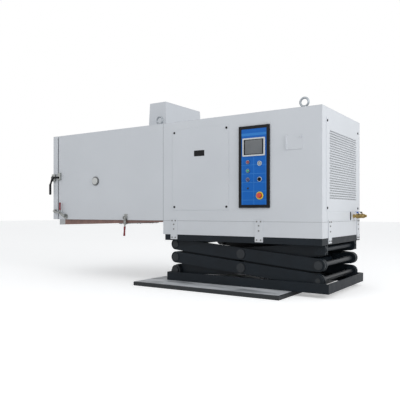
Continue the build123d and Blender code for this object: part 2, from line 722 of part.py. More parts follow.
def platform_frame():
    """A ring of angle under the plinth, with two wide rails, tracks, cross members and pivot lugs."""
    top = FRAME_TOP
    under = top - FRAME_SHEET
    left = FRAME_LEFT + FRAME_SHEET
    right = RIGHT_FACE - FRAME_SHEET
    web = (HALF_DEPTH - FRAME_SHEET, HALF_DEPTH)
    solids = []
    for y0, y1 in both_sides(web):
        solids.append(slab(FRAME_LEFT, RIGHT_FACE, y0, y1, FRAME_BOTTOM, under))
    for y0, y1 in both_sides((RAIL_INNER, HALF_DEPTH)):
        solids.append(slab(FRAME_LEFT, RIGHT_FACE, y0, y1, under, top))
    for x0, x1 in ((FRAME_LEFT, left), (right, RIGHT_FACE)):
        solids.append(slab(x0, x1, -web[0], web[0], FRAME_BOTTOM, under))
    for x0, x1 in ((FRAME_LEFT, FRAME_LEFT + FRAME_LIP), (RIGHT_FACE - FRAME_LIP, RIGHT_FACE)):
        solids.append(slab(x0, x1, -RAIL_INNER, RAIL_INNER, under, top))
    track_bottom = TOP_PIN_Z + ROLLER_RADIUS + ROLLER_CLEARANCE
    for y0, y1 in both_sides(UPPER_ROLLER):
        solids.append(slab(left, PIN_RIGHT_X - TRACK_STOP, y0, y1, track_bottom, under))
    inner = INNER_ARM[0] - SIDE_CLEARANCE
    outer = INNER_ARM[1] + SIDE_CLEARANCE
    for band in both_sides((outer, outer + LUG_THICKNESS)) + both_sides((inner - LUG_THICKNESS, inner)):
        solids.append(platform_lug(band))
    for share in CROSS_MEMBER_PLACES:
        x = FRAME_LEFT + share * (RIGHT_FACE - FRAME_LEFT)
        half = FRAME_LIP / 2
        solids.append(slab(x - half, x + half, -RAIL_INNER, RAIL_INNER, track_bottom, top))
    return solids


def bracket_rows():
    """Places of the screws on a bracket: (across, height) from its middle line and the plinth's top."""
    side = BRACKET_WIDTH / 4
    low = BRACKET_TOP_ABOVE_PLINTH - BRACKET_HEIGHT
    return [
        (-side, 0),
        (side, 0),
        (0, low * 0.2),
        (0, low * 0.45),
        (-side, low + 17),
        (side, low + 17),
    ]


def mounting_brackets():
    """White plates screwed over the seam between the plinth and the platform frame."""
    top = PLINTH_TOP + BRACKET_TOP_ABOVE_PLINTH
    low = top - BRACKET_HEIGHT
    half = BRACKET_WIDTH / 2
    solids = []
    for side in (-1, 1):
        for x in (FRONT_BRACKET_1, FRONT_BRACKET_2):
            y0 = side * HALF_DEPTH
            solids.append(slab(x - half, x + half, y0, y0 + side * BRACKET_THICKNESS, low, top))
    for y in (SIDE_BRACKET_1, SIDE_BRACKET_2):
        solids.append(slab(RIGHT_FACE, RIGHT_FACE + BRACKET_THICKNESS, y - half, y + half, low, top))
    return solids


def bracket_screws():
    """Screw heads on the mounting brackets."""
    solids = []
    seat = HALF_DEPTH + BRACKET_THICKNESS
    for side in (-1, 1):
        for x in (FRONT_BRACKET_1, FRONT_BRACKET_2):
            for across, height in bracket_rows():
                y0 = side * seat
                y1 = side * (seat + BRACKET_SCREW_HEAD)
                solids.append(rod_y(x + across, PLINTH_TOP + height, y0, y1, BRACKET_SCREW_RADIUS))
    seat = RIGHT_FACE + BRACKET_THICKNESS
    for y in (SIDE_BRACKET_1, SIDE_BRACKET_2):
        for across, height in bracket_rows():
            z = PLINTH_TOP + height
            solids.append(rod_x(y + across, z, seat, seat + BRACKET_SCREW_HEAD, BRACKET_SCREW_RADIUS))
    return solids


def plinth():
    """Four walls with a lip at their foot, and a deck on top."""
    x0, x1, half = JOINT_FACE, RIGHT_FACE, HALF_DEPTH
    low, high, wall, lip = FRAME_TOP, PLINTH_TOP, PLINTH_SHEET, PLINTH_LIP
    solids = [slab(x0, x1, -half, half, high - wall, high)]
    for y0, y1 in both_sides((half - wall, half)):
        solids.append(slab(x0, x1, y0, y1, low, high - wall))
    for y0, y1 in both_sides((half - lip, half - wall)):
        solids.append(slab(x0 + wall, x1 - wall, y0, y1, low, low + wall))
    for near, far, edge in ((x0, x0 + wall, x0 + lip), (x1, x1 - wall, x1 - lip)):
        solids.append(slab(near, far, wall - half, half - wall, low, high - wall))
        solids.append(slab(far, edge, lip - half, half - lip, low, low + wall))
    return solids


def access_span():
    return (ACCESS_LEFT, ACCESS_LEFT + ACCESS_WIDTH, PLINTH_TOP + ACCESS_BOTTOM, PLINTH_TOP + ACCESS_BOTTOM + ACCESS_HEIGHT)


def control_span():
    low = PLINTH_TOP + CONTROL_BOTTOM
    return (CONTROL_LEFT, CONTROL_LEFT + CONTROL_WIDTH, low, low + CONTROL_HEIGHT)


def vent_span():
    low = PLINTH_TOP + VENT_BOTTOM
    return (FRONT + VENT_FRONT, FRONT + VENT_FRONT + VENT_DEPTH, low, low + VENT_HEIGHT)


def housing_shell():
    """Sheet walls and roof of the machine compartment, open where panels cover them."""
    low, under = PLINTH_TOP, CABINET_TOP - SHEET
    left, right = JOINT_FACE + SHEET, RIGHT_FACE - SHEET
    inner = HALF_DEPTH - SHEET
    roof = slab(JOINT_FACE, RIGHT_FACE, FRONT, HALF_DEPTH, under, CABINET_TOP)
    back = slab(JOINT_FACE, RIGHT_FACE, inner, HALF_DEPTH, low, under)
    front = slab(JOINT_FACE, RIGHT_FACE, FRONT, -inner, low, under)
    x0, x1, z0, z1 = access_span()
    front -= slab(x0 + PANEL_RIM, x1 - PANEL_RIM, FRONT - 1, 1 - inner, z0 + PANEL_RIM, z1 - PANEL_RIM)
    x0, x1, z0, z1 = control_span()
    front -= slab(x0 + CONTROL_RIM, x1 - CONTROL_RIM, FRONT - 1, 1 - inner, z0 + CONTROL_RIM, z1 - CONTROL_RIM)
    joint_wall = slab(JOINT_FACE, left, -inner, inner, low, under)
    vent_wall = slab(right, RIGHT_FACE, -inner, inner, low, under)
    y0, y1, z0, z1 = vent_span()
    vent_wall -= slab(right - 1, RIGHT_FACE + 1, y0 + PANEL_RIM, y1 - PANEL_RIM, z0 + PANEL_RIM, z1 - PANEL_RIM)
    return [roof, back, front, joint_wall, vent_wall, hatch_pin()]


def hatch_pin():
    """The fixed pin and its two feet at the left edge of the small hatch."""
    low = PLINTH_TOP + HATCH_BOTTOM
    high = low + HATCH_HEIGHT
    x, y = hatch_axis()
    foot = HATCH_KNUCKLE
    pin = rod_z(x, y, low - foot, high + foot, HATCH_PIN)
    for z0, z1 in ((low - foot, low - PART_GAP), (high + PART_GAP, high + foot)):
        pin += slab(x - HATCH_PIN, x + HATCH_PIN, y - HATCH_PIN, FRONT, z0, z1)
    return pin


def hatch_axis():
    return HATCH_LEFT - HATCH_KNUCKLE, FRONT - HATCH_KNUCKLE - PART_GAP


def utility_hatch():
    """A small flap with a rolled knuckle at its left edge and a round knob."""
    low = PLINTH_TOP + HATCH_BOTTOM
    high = low + HATCH_HEIGHT
    x, y = hatch_axis()
    back = FRONT - GASKET_CLEARANCE
    right = HATCH_LEFT + HATCH_WIDTH
    flap = slab(x, right, back - HATCH_SHEET, back, low, high)
    flap += rod_z(x, y, low, high, HATCH_KNUCKLE)
    flap -= rod_z(x, y, low - 1, high + 1, HATCH_PIN + RUNNING_CLEARANCE)
    knob_x = right - 2 * HATCH_KNOB_RADIUS
    knob_z = high - 2 * HATCH_KNOB_RADIUS
    front = back - HATCH_SHEET
    flap += rod_y(knob_x, knob_z, front - HATCH_KNOB_LENGTH, front, HATCH_KNOB_RADIUS)
    return [flap]


def access_panel():
    x0, x1, z0, z1 = access_span()
    return [slab(x0, x1, FRONT - PANEL_SHEET, FRONT, z0, z1)]


def vent_field():
    """Rows of holes, every second row shifted by half a pitch."""
    width = VENT_DEPTH - 2 * VENT_FIELD_MARGIN
    columns = int(width // VENT_PITCH)
    row_pitch = VENT_PITCH * sin(radians(60))
    rows = int(VENT_FIELD_HEIGHT // row_pitch)
    holes = []
    for row in range(rows):
        shift = VENT_PITCH / 2 if row % 2 else 0.0
        count = columns - 1 if row % 2 else columns
        for column in range(count):
            y = shift + column * VENT_PITCH - (columns - 1) * VENT_PITCH / 2
            z = row * row_pitch - (rows - 1) * row_pitch / 2
            holes.append((y, z))
    return holes


def vent_panel():
    """Perforated panel on the right side. Its round holes are drawn with six sides."""
    y0, y1, z0, z1 = vent_span()
    middle_y = (y0 + y1) / 2
    middle_z = z0 + VENT_FIELD_BOTTOM + VENT_FIELD_HEIGHT / 2
    sheet = Pos(middle_y, (z0 + z1) / 2) * Rectangle(y1 - y0, z1 - z0)
    hole = RegularPolygon(VENT_HOLE_RADIUS, 6, rotation=30)
    sheet -= [Pos(middle_y + y, middle_z + z) * hole for y, z in vent_field()]
    return [plate_yz(sheet, RIGHT_FACE, RIGHT_FACE + PANEL_SHEET)]


def corner_places(a0, a1, b0, b1):
    """Places of four corner screws on a panel."""
    return [
        (a, b)
        for a in (a0 + PANEL_SCREW_SIDE, a1 - PANEL_SCREW_SIDE)
        for b in (b0 + PANEL_SCREW_END, b1 - PANEL_SCREW_END)
    ]


def panel_screws():
    solids = []
    seat = FRONT - PANEL_SHEET
    for x, z in corner_places(*access_span()):
        solids.append(rod_y(x, z, seat - PANEL_SCREW_HEAD, seat, PANEL_SCREW_RADIUS))
    seat = RIGHT_FACE + PANEL_SHEET
    for y, z in corner_places(*vent_span()):
        solids.append(rod_x(y, z, seat, seat + PANEL_SCREW_HEAD, PANEL_SCREW_RADIUS))
    return solids + bracket_screws()


def coil_box():
    """Planes of the condenser coil: x0, x1, y0, y1, z0, z1."""
    x1 = RIGHT_FACE - COIL_FROM_VENT
    z0 = PLINTH_TOP + COIL_BOTTOM
    return (x1 - COIL_THICKNESS, x1, -COIL_WIDTH / 2, COIL_WIDTH / 2, z0, z0 + COIL_HEIGHT)


def fan_planes():
    """The back plane and the front plane of the condenser fan."""
    x1 = coil_box()[0] - FAN_GAP
    return x1 - FAN_DEPTH, x1


def condenser():
    """A finned block between two side plates that stand on the deck, with the fan motor behind it."""
    x0, x1, y0, y1, z0, z1 = coil_box()
    back = fan_planes()[0] - PART_GAP - FAN_MOTOR_LENGTH
    unit = slab(x0, x1, y0, y1, z0, z1)
    for side in (y0, y1 - COIL_PLATE):
        unit += slab(back, x1, side, side + COIL_PLATE, PLINTH_TOP, z1)
    middle = (z0 + z1) / 2
    motor_back = back + FAN_MOTOR_LENGTH
    unit += slab(back, back + COIL_PLATE, y0, y1, middle - FAN_BAR, middle + FAN_BAR)
    unit += rod_x(0, middle, back, motor_back, FAN_MOTOR_RADIUS)
    unit += rod_x(0, middle, motor_back, motor_back + FAN_SHAFT_DEPTH, FAN_SHAFT_RADIUS)
    return [unit]


def fan_blade(turn):
    """One twisted blade, as a thin plate set at an angle to the fan's plane."""
    span = FAN_RADIUS - FAN_HUB_RADIUS + 4
    blade = Box(COIL_PLATE, span * 0.62, span)
    return Rot(turn, 0, 0) * Pos(0, 0, FAN_HUB_RADIUS - 4 + span / 2) * Rot(0, 0, 62) * blade


def condenser_fan():
    x0, x1 = fan_planes()
    middle_z = (coil_box()[4] + coil_box()[5]) / 2
    fan = rod_x(0, 0, -FAN_DEPTH / 2, FAN_DEPTH / 2, FAN_HUB_RADIUS)
    bound = rod_x(0, 0, -FAN_DEPTH / 2, FAN_DEPTH / 2, FAN_RADIUS)
    for index in range(FAN_BLADES):
        fan += fan_blade(index * 360 / FAN_BLADES) & bound
    fan -= rod_x(0, 0, -FAN_DEPTH / 2 - 1, FAN_SHAFT_DEPTH - FAN_DEPTH / 2, FAN_SHAFT_RADIUS + RUNNING_CLEARANCE)
    return [Pos((x0 + x1) / 2, 0, middle_z) * fan]


def compressor():
    """Two hermetic compressors with domed tops, each on a square foot."""
    solids = []
    for y in (-COMPRESSOR_SPREAD, COMPRESSOR_SPREAD):
        body = rod_z(COMPRESSOR_X, y, PLINTH_TOP, PLINTH_TOP + COMPRESSOR_HEIGHT, COMPRESSOR_RADIUS)
        body = fillet(body.edges().group_by(Axis.Z)[-1], COMPRESSOR_RADIUS * 0.5)
        foot = COMPRESSOR_RADIUS + COMPRESSOR_FOOT
        body += slab(
            COMPRESSOR_X - foot, COMPRESSOR_X + foot, y - foot, y + foot, PLINTH_TOP, PLINTH_TOP + COMPRESSOR_FOOT / 2
        )
        solids.append(body)
    return solids


def blower_cover():
    """A sheet cover that widens a little towards its foot, open below."""
    def block(inset):
        foot = Pos(COVER_X, COVER_Y, CABINET_TOP) * Rectangle(
            COVER_WIDTH + 2 * COVER_FLARE - 2 * inset, COVER_LENGTH + 2 * COVER_FLARE - 2 * inset
        )
        head = Pos(COVER_X, COVER_Y, CABINET_TOP + COVER_HEIGHT - inset) * Rectangle(
            COVER_WIDTH - 2 * inset, COVER_LENGTH - 2 * inset
        )
        return loft([foot, head])
    return [block(0.0) - block(SHEET)]


def circulation_motor():
    """The fan motor on the chamber's roof."""
    z = CABINET_TOP
    motor = rod_z(BLOWER_X, BLOWER_Y, z, z + MOTOR_FLANGE_THICKNESS, MOTOR_FLANGE)
    motor += rod_z(BLOWER_X, BLOWER_Y, z, z + MOTOR_HEIGHT, MOTOR_RADIUS)
    motor -= rod_z(BLOWER_X, BLOWER_Y, z - 1, z + MOTOR_HEIGHT / 2, BLOWER_SHAFT + RUNNING_CLEARANCE)
    return [motor]


def circulation_fan():
    """A wheel with straight blades between two plates, on the motor's shaft."""
    roof = CABINET_TOP - WALL
    top = roof - BLOWER_BELOW_ROOF
    low = top - BLOWER_HEIGHT
    shaft_top = CABINET_TOP + MOTOR_HEIGHT / 2 - PART_GAP
    wheel = rod_z(0, 0, top - BAFFLE_SHEET, top, BLOWER_RADIUS)
    wheel += rod_z(0, 0, low, top, BLOWER_HUB)
    wheel += rod_z(0, 0, low, low + BAFFLE_SHEET, BLOWER_RADIUS) - rod_z(0, 0, low - 1, top, BLOWER_RADIUS * 0.7)
    for index in range(BLOWER_BLADES):
        span = BLOWER_RADIUS - BLOWER_HUB
        blade = slab(BLOWER_HUB - 2, BLOWER_HUB + span - 1, -BAFFLE_SHEET / 2, BAFFLE_SHEET / 2, low, top)
        wheel += Rot(0, 0, index * 360 / BLOWER_BLADES) * blade
    wheel += rod_z(0, 0, low, shaft_top, BLOWER_SHAFT)
    return [Pos(BLOWER_X, BLOWER_Y, 0) * wheel]


def lifting_eyes():
    """Four eyes on the roof, for a crane."""
    x1 = RIGHT_FACE - LIFTING_EYE_INSET_X
    y = HALF_DEPTH - LIFTING_EYE_INSET_Y
    places = [(x, side * y) for x in (x1, x1 - LIFTING_EYE_SPAN) for side in (-1, 1)]
    return [lifting_eye(px, py, CABINET_TOP) for px, py in places]


def chamber_hollow(inset, bottom_inset=0.0):
    """The chamber's inside, larger by an inset towards the outer face on five sides."""
    return slab(
        CHAMBER_FACE - 1,
        JOINT_FACE - inset,
        FRONT + inset,
        HALF_DEPTH - inset,
        PLINTH_TOP + bottom_inset - 1,
        CABINET_TOP - inset,
    )


def shaft_hole():
    """The hole through the roof for the fan's shaft."""
    return rod_z(BLOWER_X, BLOWER_Y, CABINET_TOP - WALL - 1, CABINET_TOP + 1, BLOWER_SHAFT + SIDE_CLEARANCE)


def port_hole(radius):
    z = PLINTH_TOP + PORT_ABOVE_PLINTH
    return rod_y(PORT_X, z, FRONT - 1, FRONT + WALL + 1, radius)


def chamber_shell():
    """White outer sheet with a flat rim around the doorway and around the floor opening."""
    shell = slab(CHAMBER_FACE, JOINT_FACE, FRONT, HALF_DEPTH, PLINTH_TOP, CABINET_TOP)
    shell -= slab(
        CHAMBER_FACE + SHEET,
        JOINT_FACE - SHEET,
        FRONT + SHEET,
        HALF_DEPTH - SHEET,
        PLINTH_TOP + SHEET,
        CABINET_TOP - SHEET,
    )
    shell -= chamber_hollow(WALL)
    return [shell - shaft_hole() - port_hole(PORT_TUBE_RADIUS)]


def chamber_insulation():
    """Foam slabs of the roof, the front, the back and the end wall."""
    x0 = CHAMBER_FACE + SHEET
    x1 = JOINT_FACE - SHEET
    y0 = FRONT + SHEET
    z0 = PLINTH_TOP + SHEET
    z1 = CABINET_TOP - SHEET
    roof = slab(x0, x1, y0, -y0, z1 - INSULATION, z1) - shaft_hole()
    front = slab(x0, x1, y0, y0 + INSULATION, z0, z1 - INSULATION) - port_hole(PORT_TUBE_RADIUS)
    back = slab(x0, x1, -y0 - INSULATION, -y0, z0, z1 - INSULATION)
    end = slab(x1 - INSULATION, x1, y0 + INSULATION, -y0 - INSULATION, z0, z1 - INSULATION)
    return [roof, front, back, end]


def chamber_liner():
    """Stainless lining of the roof, the front, the back and the end wall."""
    inset = SHEET + INSULATION
    x0 = CHAMBER_FACE + SHEET
    liner = slab(x0, JOINT_FACE - inset, FRONT + inset, -FRONT - inset, PLINTH_TOP + SHEET, CABINET_TOP - inset)
    liner -= chamber_hollow(WALL)
    return [liner - shaft_hole() - port_hole(PORT_TUBE_RADIUS)]


def floor_height():
    """Height of the chamber's inner floor."""
    return PLINTH_TOP + FLOOR_PLUG_HEIGHT


def air_baffle():
    """Upright sheet in front of the fan, with two round outlets above and two slots below."""
    half = HALF_DEPTH - WALL
    low = floor_height()
    high = CABINET_TOP - WALL
    sheet = Pos(0, (low + high) / 2) * Rectangle(2 * half, high - low)
    for y in (-BAFFLE_OUTLET_SPREAD, BAFFLE_OUTLET_SPREAD):
        sheet -= Pos(y, high - 2 * BAFFLE_OUTLET_RADIUS) * Circle(BAFFLE_OUTLET_RADIUS)
        sheet -= Pos(y, low + BAFFLE_SLOT_HEIGHT) * Rectangle(BAFFLE_SLOT_WIDTH, BAFFLE_SLOT_HEIGHT)
    return [plate_yz(sheet, BAFFLE_X - BAFFLE_SHEET, BAFFLE_X)]


def evaporator():
    """Finned block at the foot of the plenum, on two side plates."""
    low = floor_height()
    x0 = (BAFFLE_X + JOINT_FACE - WALL) / 2 - EVAPORATOR_THICKNESS / 2
    x1 = x0 + EVAPORATOR_THICKNESS
    half = EVAPORATOR_WIDTH / 2
    block = slab(x0, x1, -half, half, low + BAFFLE_SLOT_HEIGHT, low + BAFFLE_SLOT_HEIGHT + EVAPORATOR_HEIGHT)
    for side in (-half, half - COIL_PLATE):
        block += slab(x0, x1, side, side + COIL_PLATE, low, low + EVAPORATOR_HEIGHT)
    return [block]


def floor_depth(x):
    """How far the wedge-shaped floor reaches below the chamber at a place along X."""
    share = (x - CHAMBER_FACE) / CHAMBER_LENGTH
    return FLOOR_DEPTH_LEFT + share * (FLOOR_DEPTH_RIGHT - FLOOR_DEPTH_LEFT)


def floor_wedge(x0, x1, y0, y1):
    """A wedge under the chamber between two planes along X."""
    outline = make_face(
        Polyline(
            (x0, PLINTH_TOP),
            (x1, PLINTH_TOP),
            (x1, PLINTH_TOP - floor_depth(x1)),
            (x0, PLINTH_TOP - floor_depth(x0)),
            close=True,
        )
    )
    return plate_xz(outline, y0, y1)


def floor_panel():
    """The chamber's floor: a plug inside the walls, a wedge below, a port cover, a drain and a catch."""
    half = HALF_DEPTH - FLOOR_SETBACK
    inner_half = half - FLOOR_SEAL_WIDTH
    end = CHAMBER_FACE + FLOOR_END_RAIL
    wedge = floor_wedge(end, JOINT_FACE, -inner_half, inner_half)
    inner = floor_wedge(end + FLOOR_SHEET, JOINT_FACE - FLOOR_SHEET, FLOOR_SHEET - inner_half, inner_half - FLOOR_SHEET)
    wedge -= Pos(0, 0, FLOOR_SHEET) * inner
    rail = floor_wedge(CHAMBER_FACE, end, -half, half)
    wall = HALF_DEPTH - WALL
    left, right = CHAMBER_FACE + SHEET, JOINT_FACE - WALL
    top = floor_height()
    plug = slab(left, right, -wall, wall, PLINTH_TOP, top)
    sheet = FLOOR_SHEET
    plug -= slab(left + sheet, right - sheet, sheet - wall, wall - sheet, PLINTH_TOP - 1, top - sheet)
    z = PLINTH_TOP - FLOOR_DEPTH_LEFT / 2
    spigot = rod_x(FRONT + 2 * FLOOR_END_RAIL, z, CHAMBER_FACE - SPIGOT_LENGTH, CHAMBER_FACE, SPIGOT_RADIUS)
    return [wedge + floor_catch(inner_half), rail, plug, port_cover(), spigot]


def port_cover():
    """The round cover of the shaker opening, bolted to the wedge's sloping underside."""
    cover_x = (CHAMBER_FACE + JOINT_FACE) / 2
    tilt = degrees(atan2(FLOOR_DEPTH_LEFT - FLOOR_DEPTH_RIGHT, CHAMBER_LENGTH))
    on_slope = Pos(cover_x, 0, PLINTH_TOP - floor_depth(cover_x)) * Rot(0, -tilt, 0)
    cover = Pos(0, 0, -PORT_COVER_THICKNESS / 2) * Cylinder(PORT_COVER_RADIUS, PORT_COVER_THICKNESS)
    for index in range(PORT_SCREWS):
        turn = 2 * pi * index / PORT_SCREWS
        place = Pos(PORT_SCREW_CIRCLE * cos(turn), PORT_SCREW_CIRCLE * sin(turn), -PORT_COVER_THICKNESS)
        cover += place * Pos(0, 0, -PANEL_SCREW_HEAD / 2) * Cylinder(PANEL_SCREW_RADIUS, PANEL_SCREW_HEAD)
    return on_slope * cover


def floor_catch(inner_half):
    """A flat tongue under the wedge that the floor clamp's hook takes hold of."""
    half = FLOOR_CATCH_WIDTH / 2
    high = PLINTH_TOP - floor_depth(FLOOR_CLAMP_X) - RUNNING_CLEARANCE
    low = high - FLOOR_CATCH_THICKNESS
    x0, x1 = FLOOR_CLAMP_X - half, FLOOR_CLAMP_X + half
    front = -inner_half - FLOOR_SEAL_WIDTH
    root = slab(x0, x1, -inner_half, -inner_half + FLOOR_SEAL_WIDTH, low, high + FLOOR_SHEET)
    return root + slab(x0, x1, front - FLOOR_CATCH_REACH, -inner_half, low, high)


def floor_seal():
    """Silicone strip that frames the wedge on three sides."""
    half = HALF_DEPTH - FLOOR_SETBACK
    x0 = CHAMBER_FACE + FLOOR_END_RAIL
    solids = []
    for side in (-1, 1):
        solids.append(floor_wedge(x0, JOINT_FACE, side * (half - FLOOR_SEAL_WIDTH), side * half))
    return solids


def test_port_ring():
    """A flanged tube through the chamber's front wall."""
    z = PLINTH_TOP + PORT_ABOVE_PLINTH
    ring = rod_y(PORT_X, z, FRONT - PORT_FLANGE_THICKNESS, FRONT, PORT_FLANGE_RADIUS)
    ring += rod_y(PORT_X, z, FRONT, FRONT + WALL, PORT_TUBE_RADIUS)
    return [ring - rod_y(PORT_X, z, FRONT - PORT_FLANGE_THICKNESS - 1, FRONT + WALL + 1, PORT_BORE_RADIUS)]


def test_port_plug():
    z = PLINTH_TOP + PORT_ABOVE_PLINTH
    face = FRONT - PORT_FLANGE_THICKNESS - GASKET_CLEARANCE
    plug = rod_y(PORT_X, z, face - PLUG_HEAD_THICKNESS, face, PLUG_HEAD_RADIUS)
    return [plug + rod_y(PORT_X, z, face, FRONT + WALL, PORT_BORE_RADIUS - PLUG_CLEARANCE)]


def door_panel():
    """The chamber door: a folded sheet tray, closed by an inner sheet with a shallow pan on it."""
    tray_back = DOOR_INNER - DOOR_SHEET
    panel = slab(DOOR_OUTER, tray_back, FRONT, HALF_DEPTH, PLINTH_TOP, CABINET_TOP)
    panel -= slab(
        DOOR_OUTER + DOOR_SHEET,
        DOOR_INNER,
        FRONT + DOOR_SHEET,
        HALF_DEPTH - DOOR_SHEET,
        PLINTH_TOP + DOOR_SHEET,
        CABINET_TOP - DOOR_SHEET,
    )
    inner = slab(tray_back, DOOR_INNER, FRONT, HALF_DEPTH, PLINTH_TOP, CABINET_TOP)
    inset = GASKET_INSET + GASKET_WIDTH + 2 * GASKET_INSET
    inner += slab(
        DOOR_INNER,
        DOOR_INNER + DOOR_GAP / 2,
        FRONT + inset,
        HALF_DEPTH - inset,
        PLINTH_TOP + inset,
        CABINET_TOP - inset,
    )
    return [panel, inner]


def door_gasket():
    """A hollow-section seal around the door's inner face, drawn as a plain ring."""
    outer = (FRONT + GASKET_INSET, HALF_DEPTH - GASKET_INSET, PLINTH_TOP + GASKET_INSET, CABINET_TOP - GASKET_INSET)
    middle = Pos((outer[0] + outer[1]) / 2, (outer[2] + outer[3]) / 2)
    width = outer[1] - outer[0]
    height = outer[3] - outer[2]
    sheet = middle * RectangleRounded(width, height, GASKET_WIDTH)
    sheet -= middle * Rectangle(width - 2 * GASKET_WIDTH, height - 2 * GASKET_WIDTH)
    return [plate_yz(sheet, DOOR_INNER, CHAMBER_FACE - GASKET_CLEARANCE)]


def hinge_brackets():
    """The fixed half of each hinge: a leaf on the chamber's back, a knuckle and the pin."""
    solids = []
    for height in HINGE_HEIGHTS:
        z = PLINTH_TOP + height
        leaf = slab(CHAMBER_FACE, CHAMBER_FACE + HINGE_LEAF, HALF_DEPTH, HALF_DEPTH + HINGE_LEAF_THICKNESS, z, z + HINGE_KNUCKLE)
        leaf += slab(HINGE_X, CHAMBER_FACE + HINGE_BARREL, HALF_DEPTH, HINGE_Y, z, z + HINGE_KNUCKLE)
        leaf -= slab(HINGE_X - 1, CHAMBER_FACE, HALF_DEPTH - 1, HALF_DEPTH + GASKET_CLEARANCE, z, z + HINGE_KNUCKLE)
        leaf += rod_z(HINGE_X, HINGE_Y, z, z + HINGE_KNUCKLE, HINGE_BARREL)
        leaf += rod_z(HINGE_X, HINGE_Y, z, z + 2 * HINGE_KNUCKLE + PART_GAP, HINGE_PIN)
        solids.append(leaf)
    return solids


def hinge_arms():
    """The moving half of each hinge: a leaf on the door's back edge and a bored knuckle."""
    solids = []
    for height in HINGE_HEIGHTS:
        z0 = PLINTH_TOP + height + HINGE_KNUCKLE + PART_GAP
        z1 = z0 + HINGE_KNUCKLE
        leaf = slab(DOOR_OUTER, DOOR_INNER, HALF_DEPTH, HALF_DEPTH + HINGE_LEAF_THICKNESS, z0, z1)
        leaf += slab(DOOR_INNER - HINGE_BARREL, HINGE_X, HALF_DEPTH + GASKET_CLEARANCE, HINGE_Y, z0, z1)
        leaf += rod_z(HINGE_X, HINGE_Y, z0, z1, HINGE_BARREL)
        leaf -= rod_z(HINGE_X, HINGE_Y, z0 - 1, z1 + 1, HINGE_PIN + RUNNING_CLEARANCE)
        solids.append(leaf)
    return solids


def latch_pivot():
    return DOOR_OUTER + LATCH_FROM_DOOR_FACE, PLINTH_TOP + LATCH_HEIGHT


def clamp_pivot():
    return CLAMP_X, PLINTH_TOP + CLAMP_ABOVE_PLINTH


def clamp_elbow():
    x, z = clamp_pivot()
    turn = radians(CLAMP_ARM_ANGLE)
    return x + CLAMP_ARM * cos(turn), z + CLAMP_ARM * sin(turn)


def door_latch_body():
    """The latch case on the door's front edge, and the catch of the lower clamp below it."""
    x, z = latch_pivot()
    half = LATCH_WIDTH / 2
    low = z - LATCH_LENGTH / 2
    case = slab(x - half, x + half, FRONT - LATCH_DEPTH, FRONT, low, low + LATCH_LENGTH)
    case = fillet(case.edges().group_by(Axis.Y)[0], half / 3)
    pin_end = FRONT - LATCH_DEPTH - PART_GAP - LATCH_LEVER_THICKNESS
    case += rod_y(x, z, pin_end, FRONT - LATCH_DEPTH, LATCH_PIN_RADIUS)
    elbow = clamp_elbow()
    catch_x = DOOR_INNER - CATCH_WIDTH
    catch_z = elbow[1] + CLAMP_HOOK_RISE
    catch = slab(
        catch_x - CATCH_WIDTH / 2,
        catch_x + CATCH_WIDTH / 2,
        FRONT - LATCH_DEPTH,
        FRONT,
        catch_z - CATCH_HEIGHT / 2,
        catch_z + CATCH_HEIGHT / 2,
    )
    return [case, catch]


def bar_xz(start, end, width, y0, y1):
    """A flat bar with round ends between two points."""
    turn = degrees(atan2(end[1] - start[1], end[0] - start[0]))
    length = hypot(end[0] - start[0], end[1] - start[1])
    middle = ((start[0] + end[0]) / 2, (start[1] + end[1]) / 2)
    return plate_xz(Pos(*middle) * Rot(0, 0, turn) * SlotCenterToCenter(length, width), y0, y1)


def door_latch_lever():
    """The latch lever: a nose over the keeper, a boss and a dog-leg handle with a round grip."""
    x, z = latch_pivot()
    y1 = FRONT - LATCH_DEPTH - PART_GAP
    y0 = y1 - LATCH_LEVER_THICKNESS
    middle = (y0 + y1) / 2
    lever = rod_y(x, z, y0, y1, LATCH_BOSS_RADIUS)
    lever += bar_xz((x, z), (x + LATCH_NOSE_REACH, z), LATCH_NOSE_HEIGHT, y0, y1)
    elbow = (x - LEVER_BACK, z - LEVER_DROP)
    neck = 2 * LEVER_NECK_RADIUS
    lever += bar_xz((x, z), elbow, neck, middle - neck / 3, middle + neck / 3)
    lever += rod_z(elbow[0], middle, elbow[1] - GRIP_LENGTH, elbow[1] + GRIP_RADIUS / 2, GRIP_RADIUS)
    lever += Pos(elbow[0], middle, elbow[1] + GRIP_RADIUS / 2) * Sphere(GRIP_RADIUS)
    lever += Pos(elbow[0], middle, elbow[1] - GRIP_LENGTH) * Sphere(GRIP_RADIUS)
    return [lever - rod_y(x, z, y0 - 1, y1 + 1, LATCH_PIN_RADIUS + RUNNING_CLEARANCE)]


def door_hardware():
    """The latch keeper, the door clamp's base and the floor clamp's base on the chamber's front."""
    _, z = latch_pivot()
    x0 = CHAMBER_FACE + KEEPER_INSET
    keeper = slab(x0, x0 + KEEPER_WIDTH, FRONT - LATCH_DEPTH, FRONT, z - KEEPER_HEIGHT / 3, z + KEEPER_HEIGHT * 2 / 3)
    keeper = fillet(keeper.edges().group_by(Axis.Y)[0], KEEPER_WIDTH / 8)
    cx, cz = clamp_pivot()
    base = rod_y(cx, cz, FRONT - CLAMP_BASE_DEPTH, FRONT, CLAMP_BASE_RADIUS)
    pin_end = FRONT - LATCH_DEPTH - PART_GAP - 2 * CLAMP_BAR
    base += rod_y(cx, cz, pin_end, FRONT, CLAMP_PIN_RADIUS)
    return [keeper, base, floor_clamp_base()]


def floor_clamp_pivot():
    """Y and Z of the floor clamp's pivot."""
    return FRONT - FLOOR_CLAMP_STANDOFF, PLINTH_TOP + FLOOR_CLAMP_PIVOT_RISE


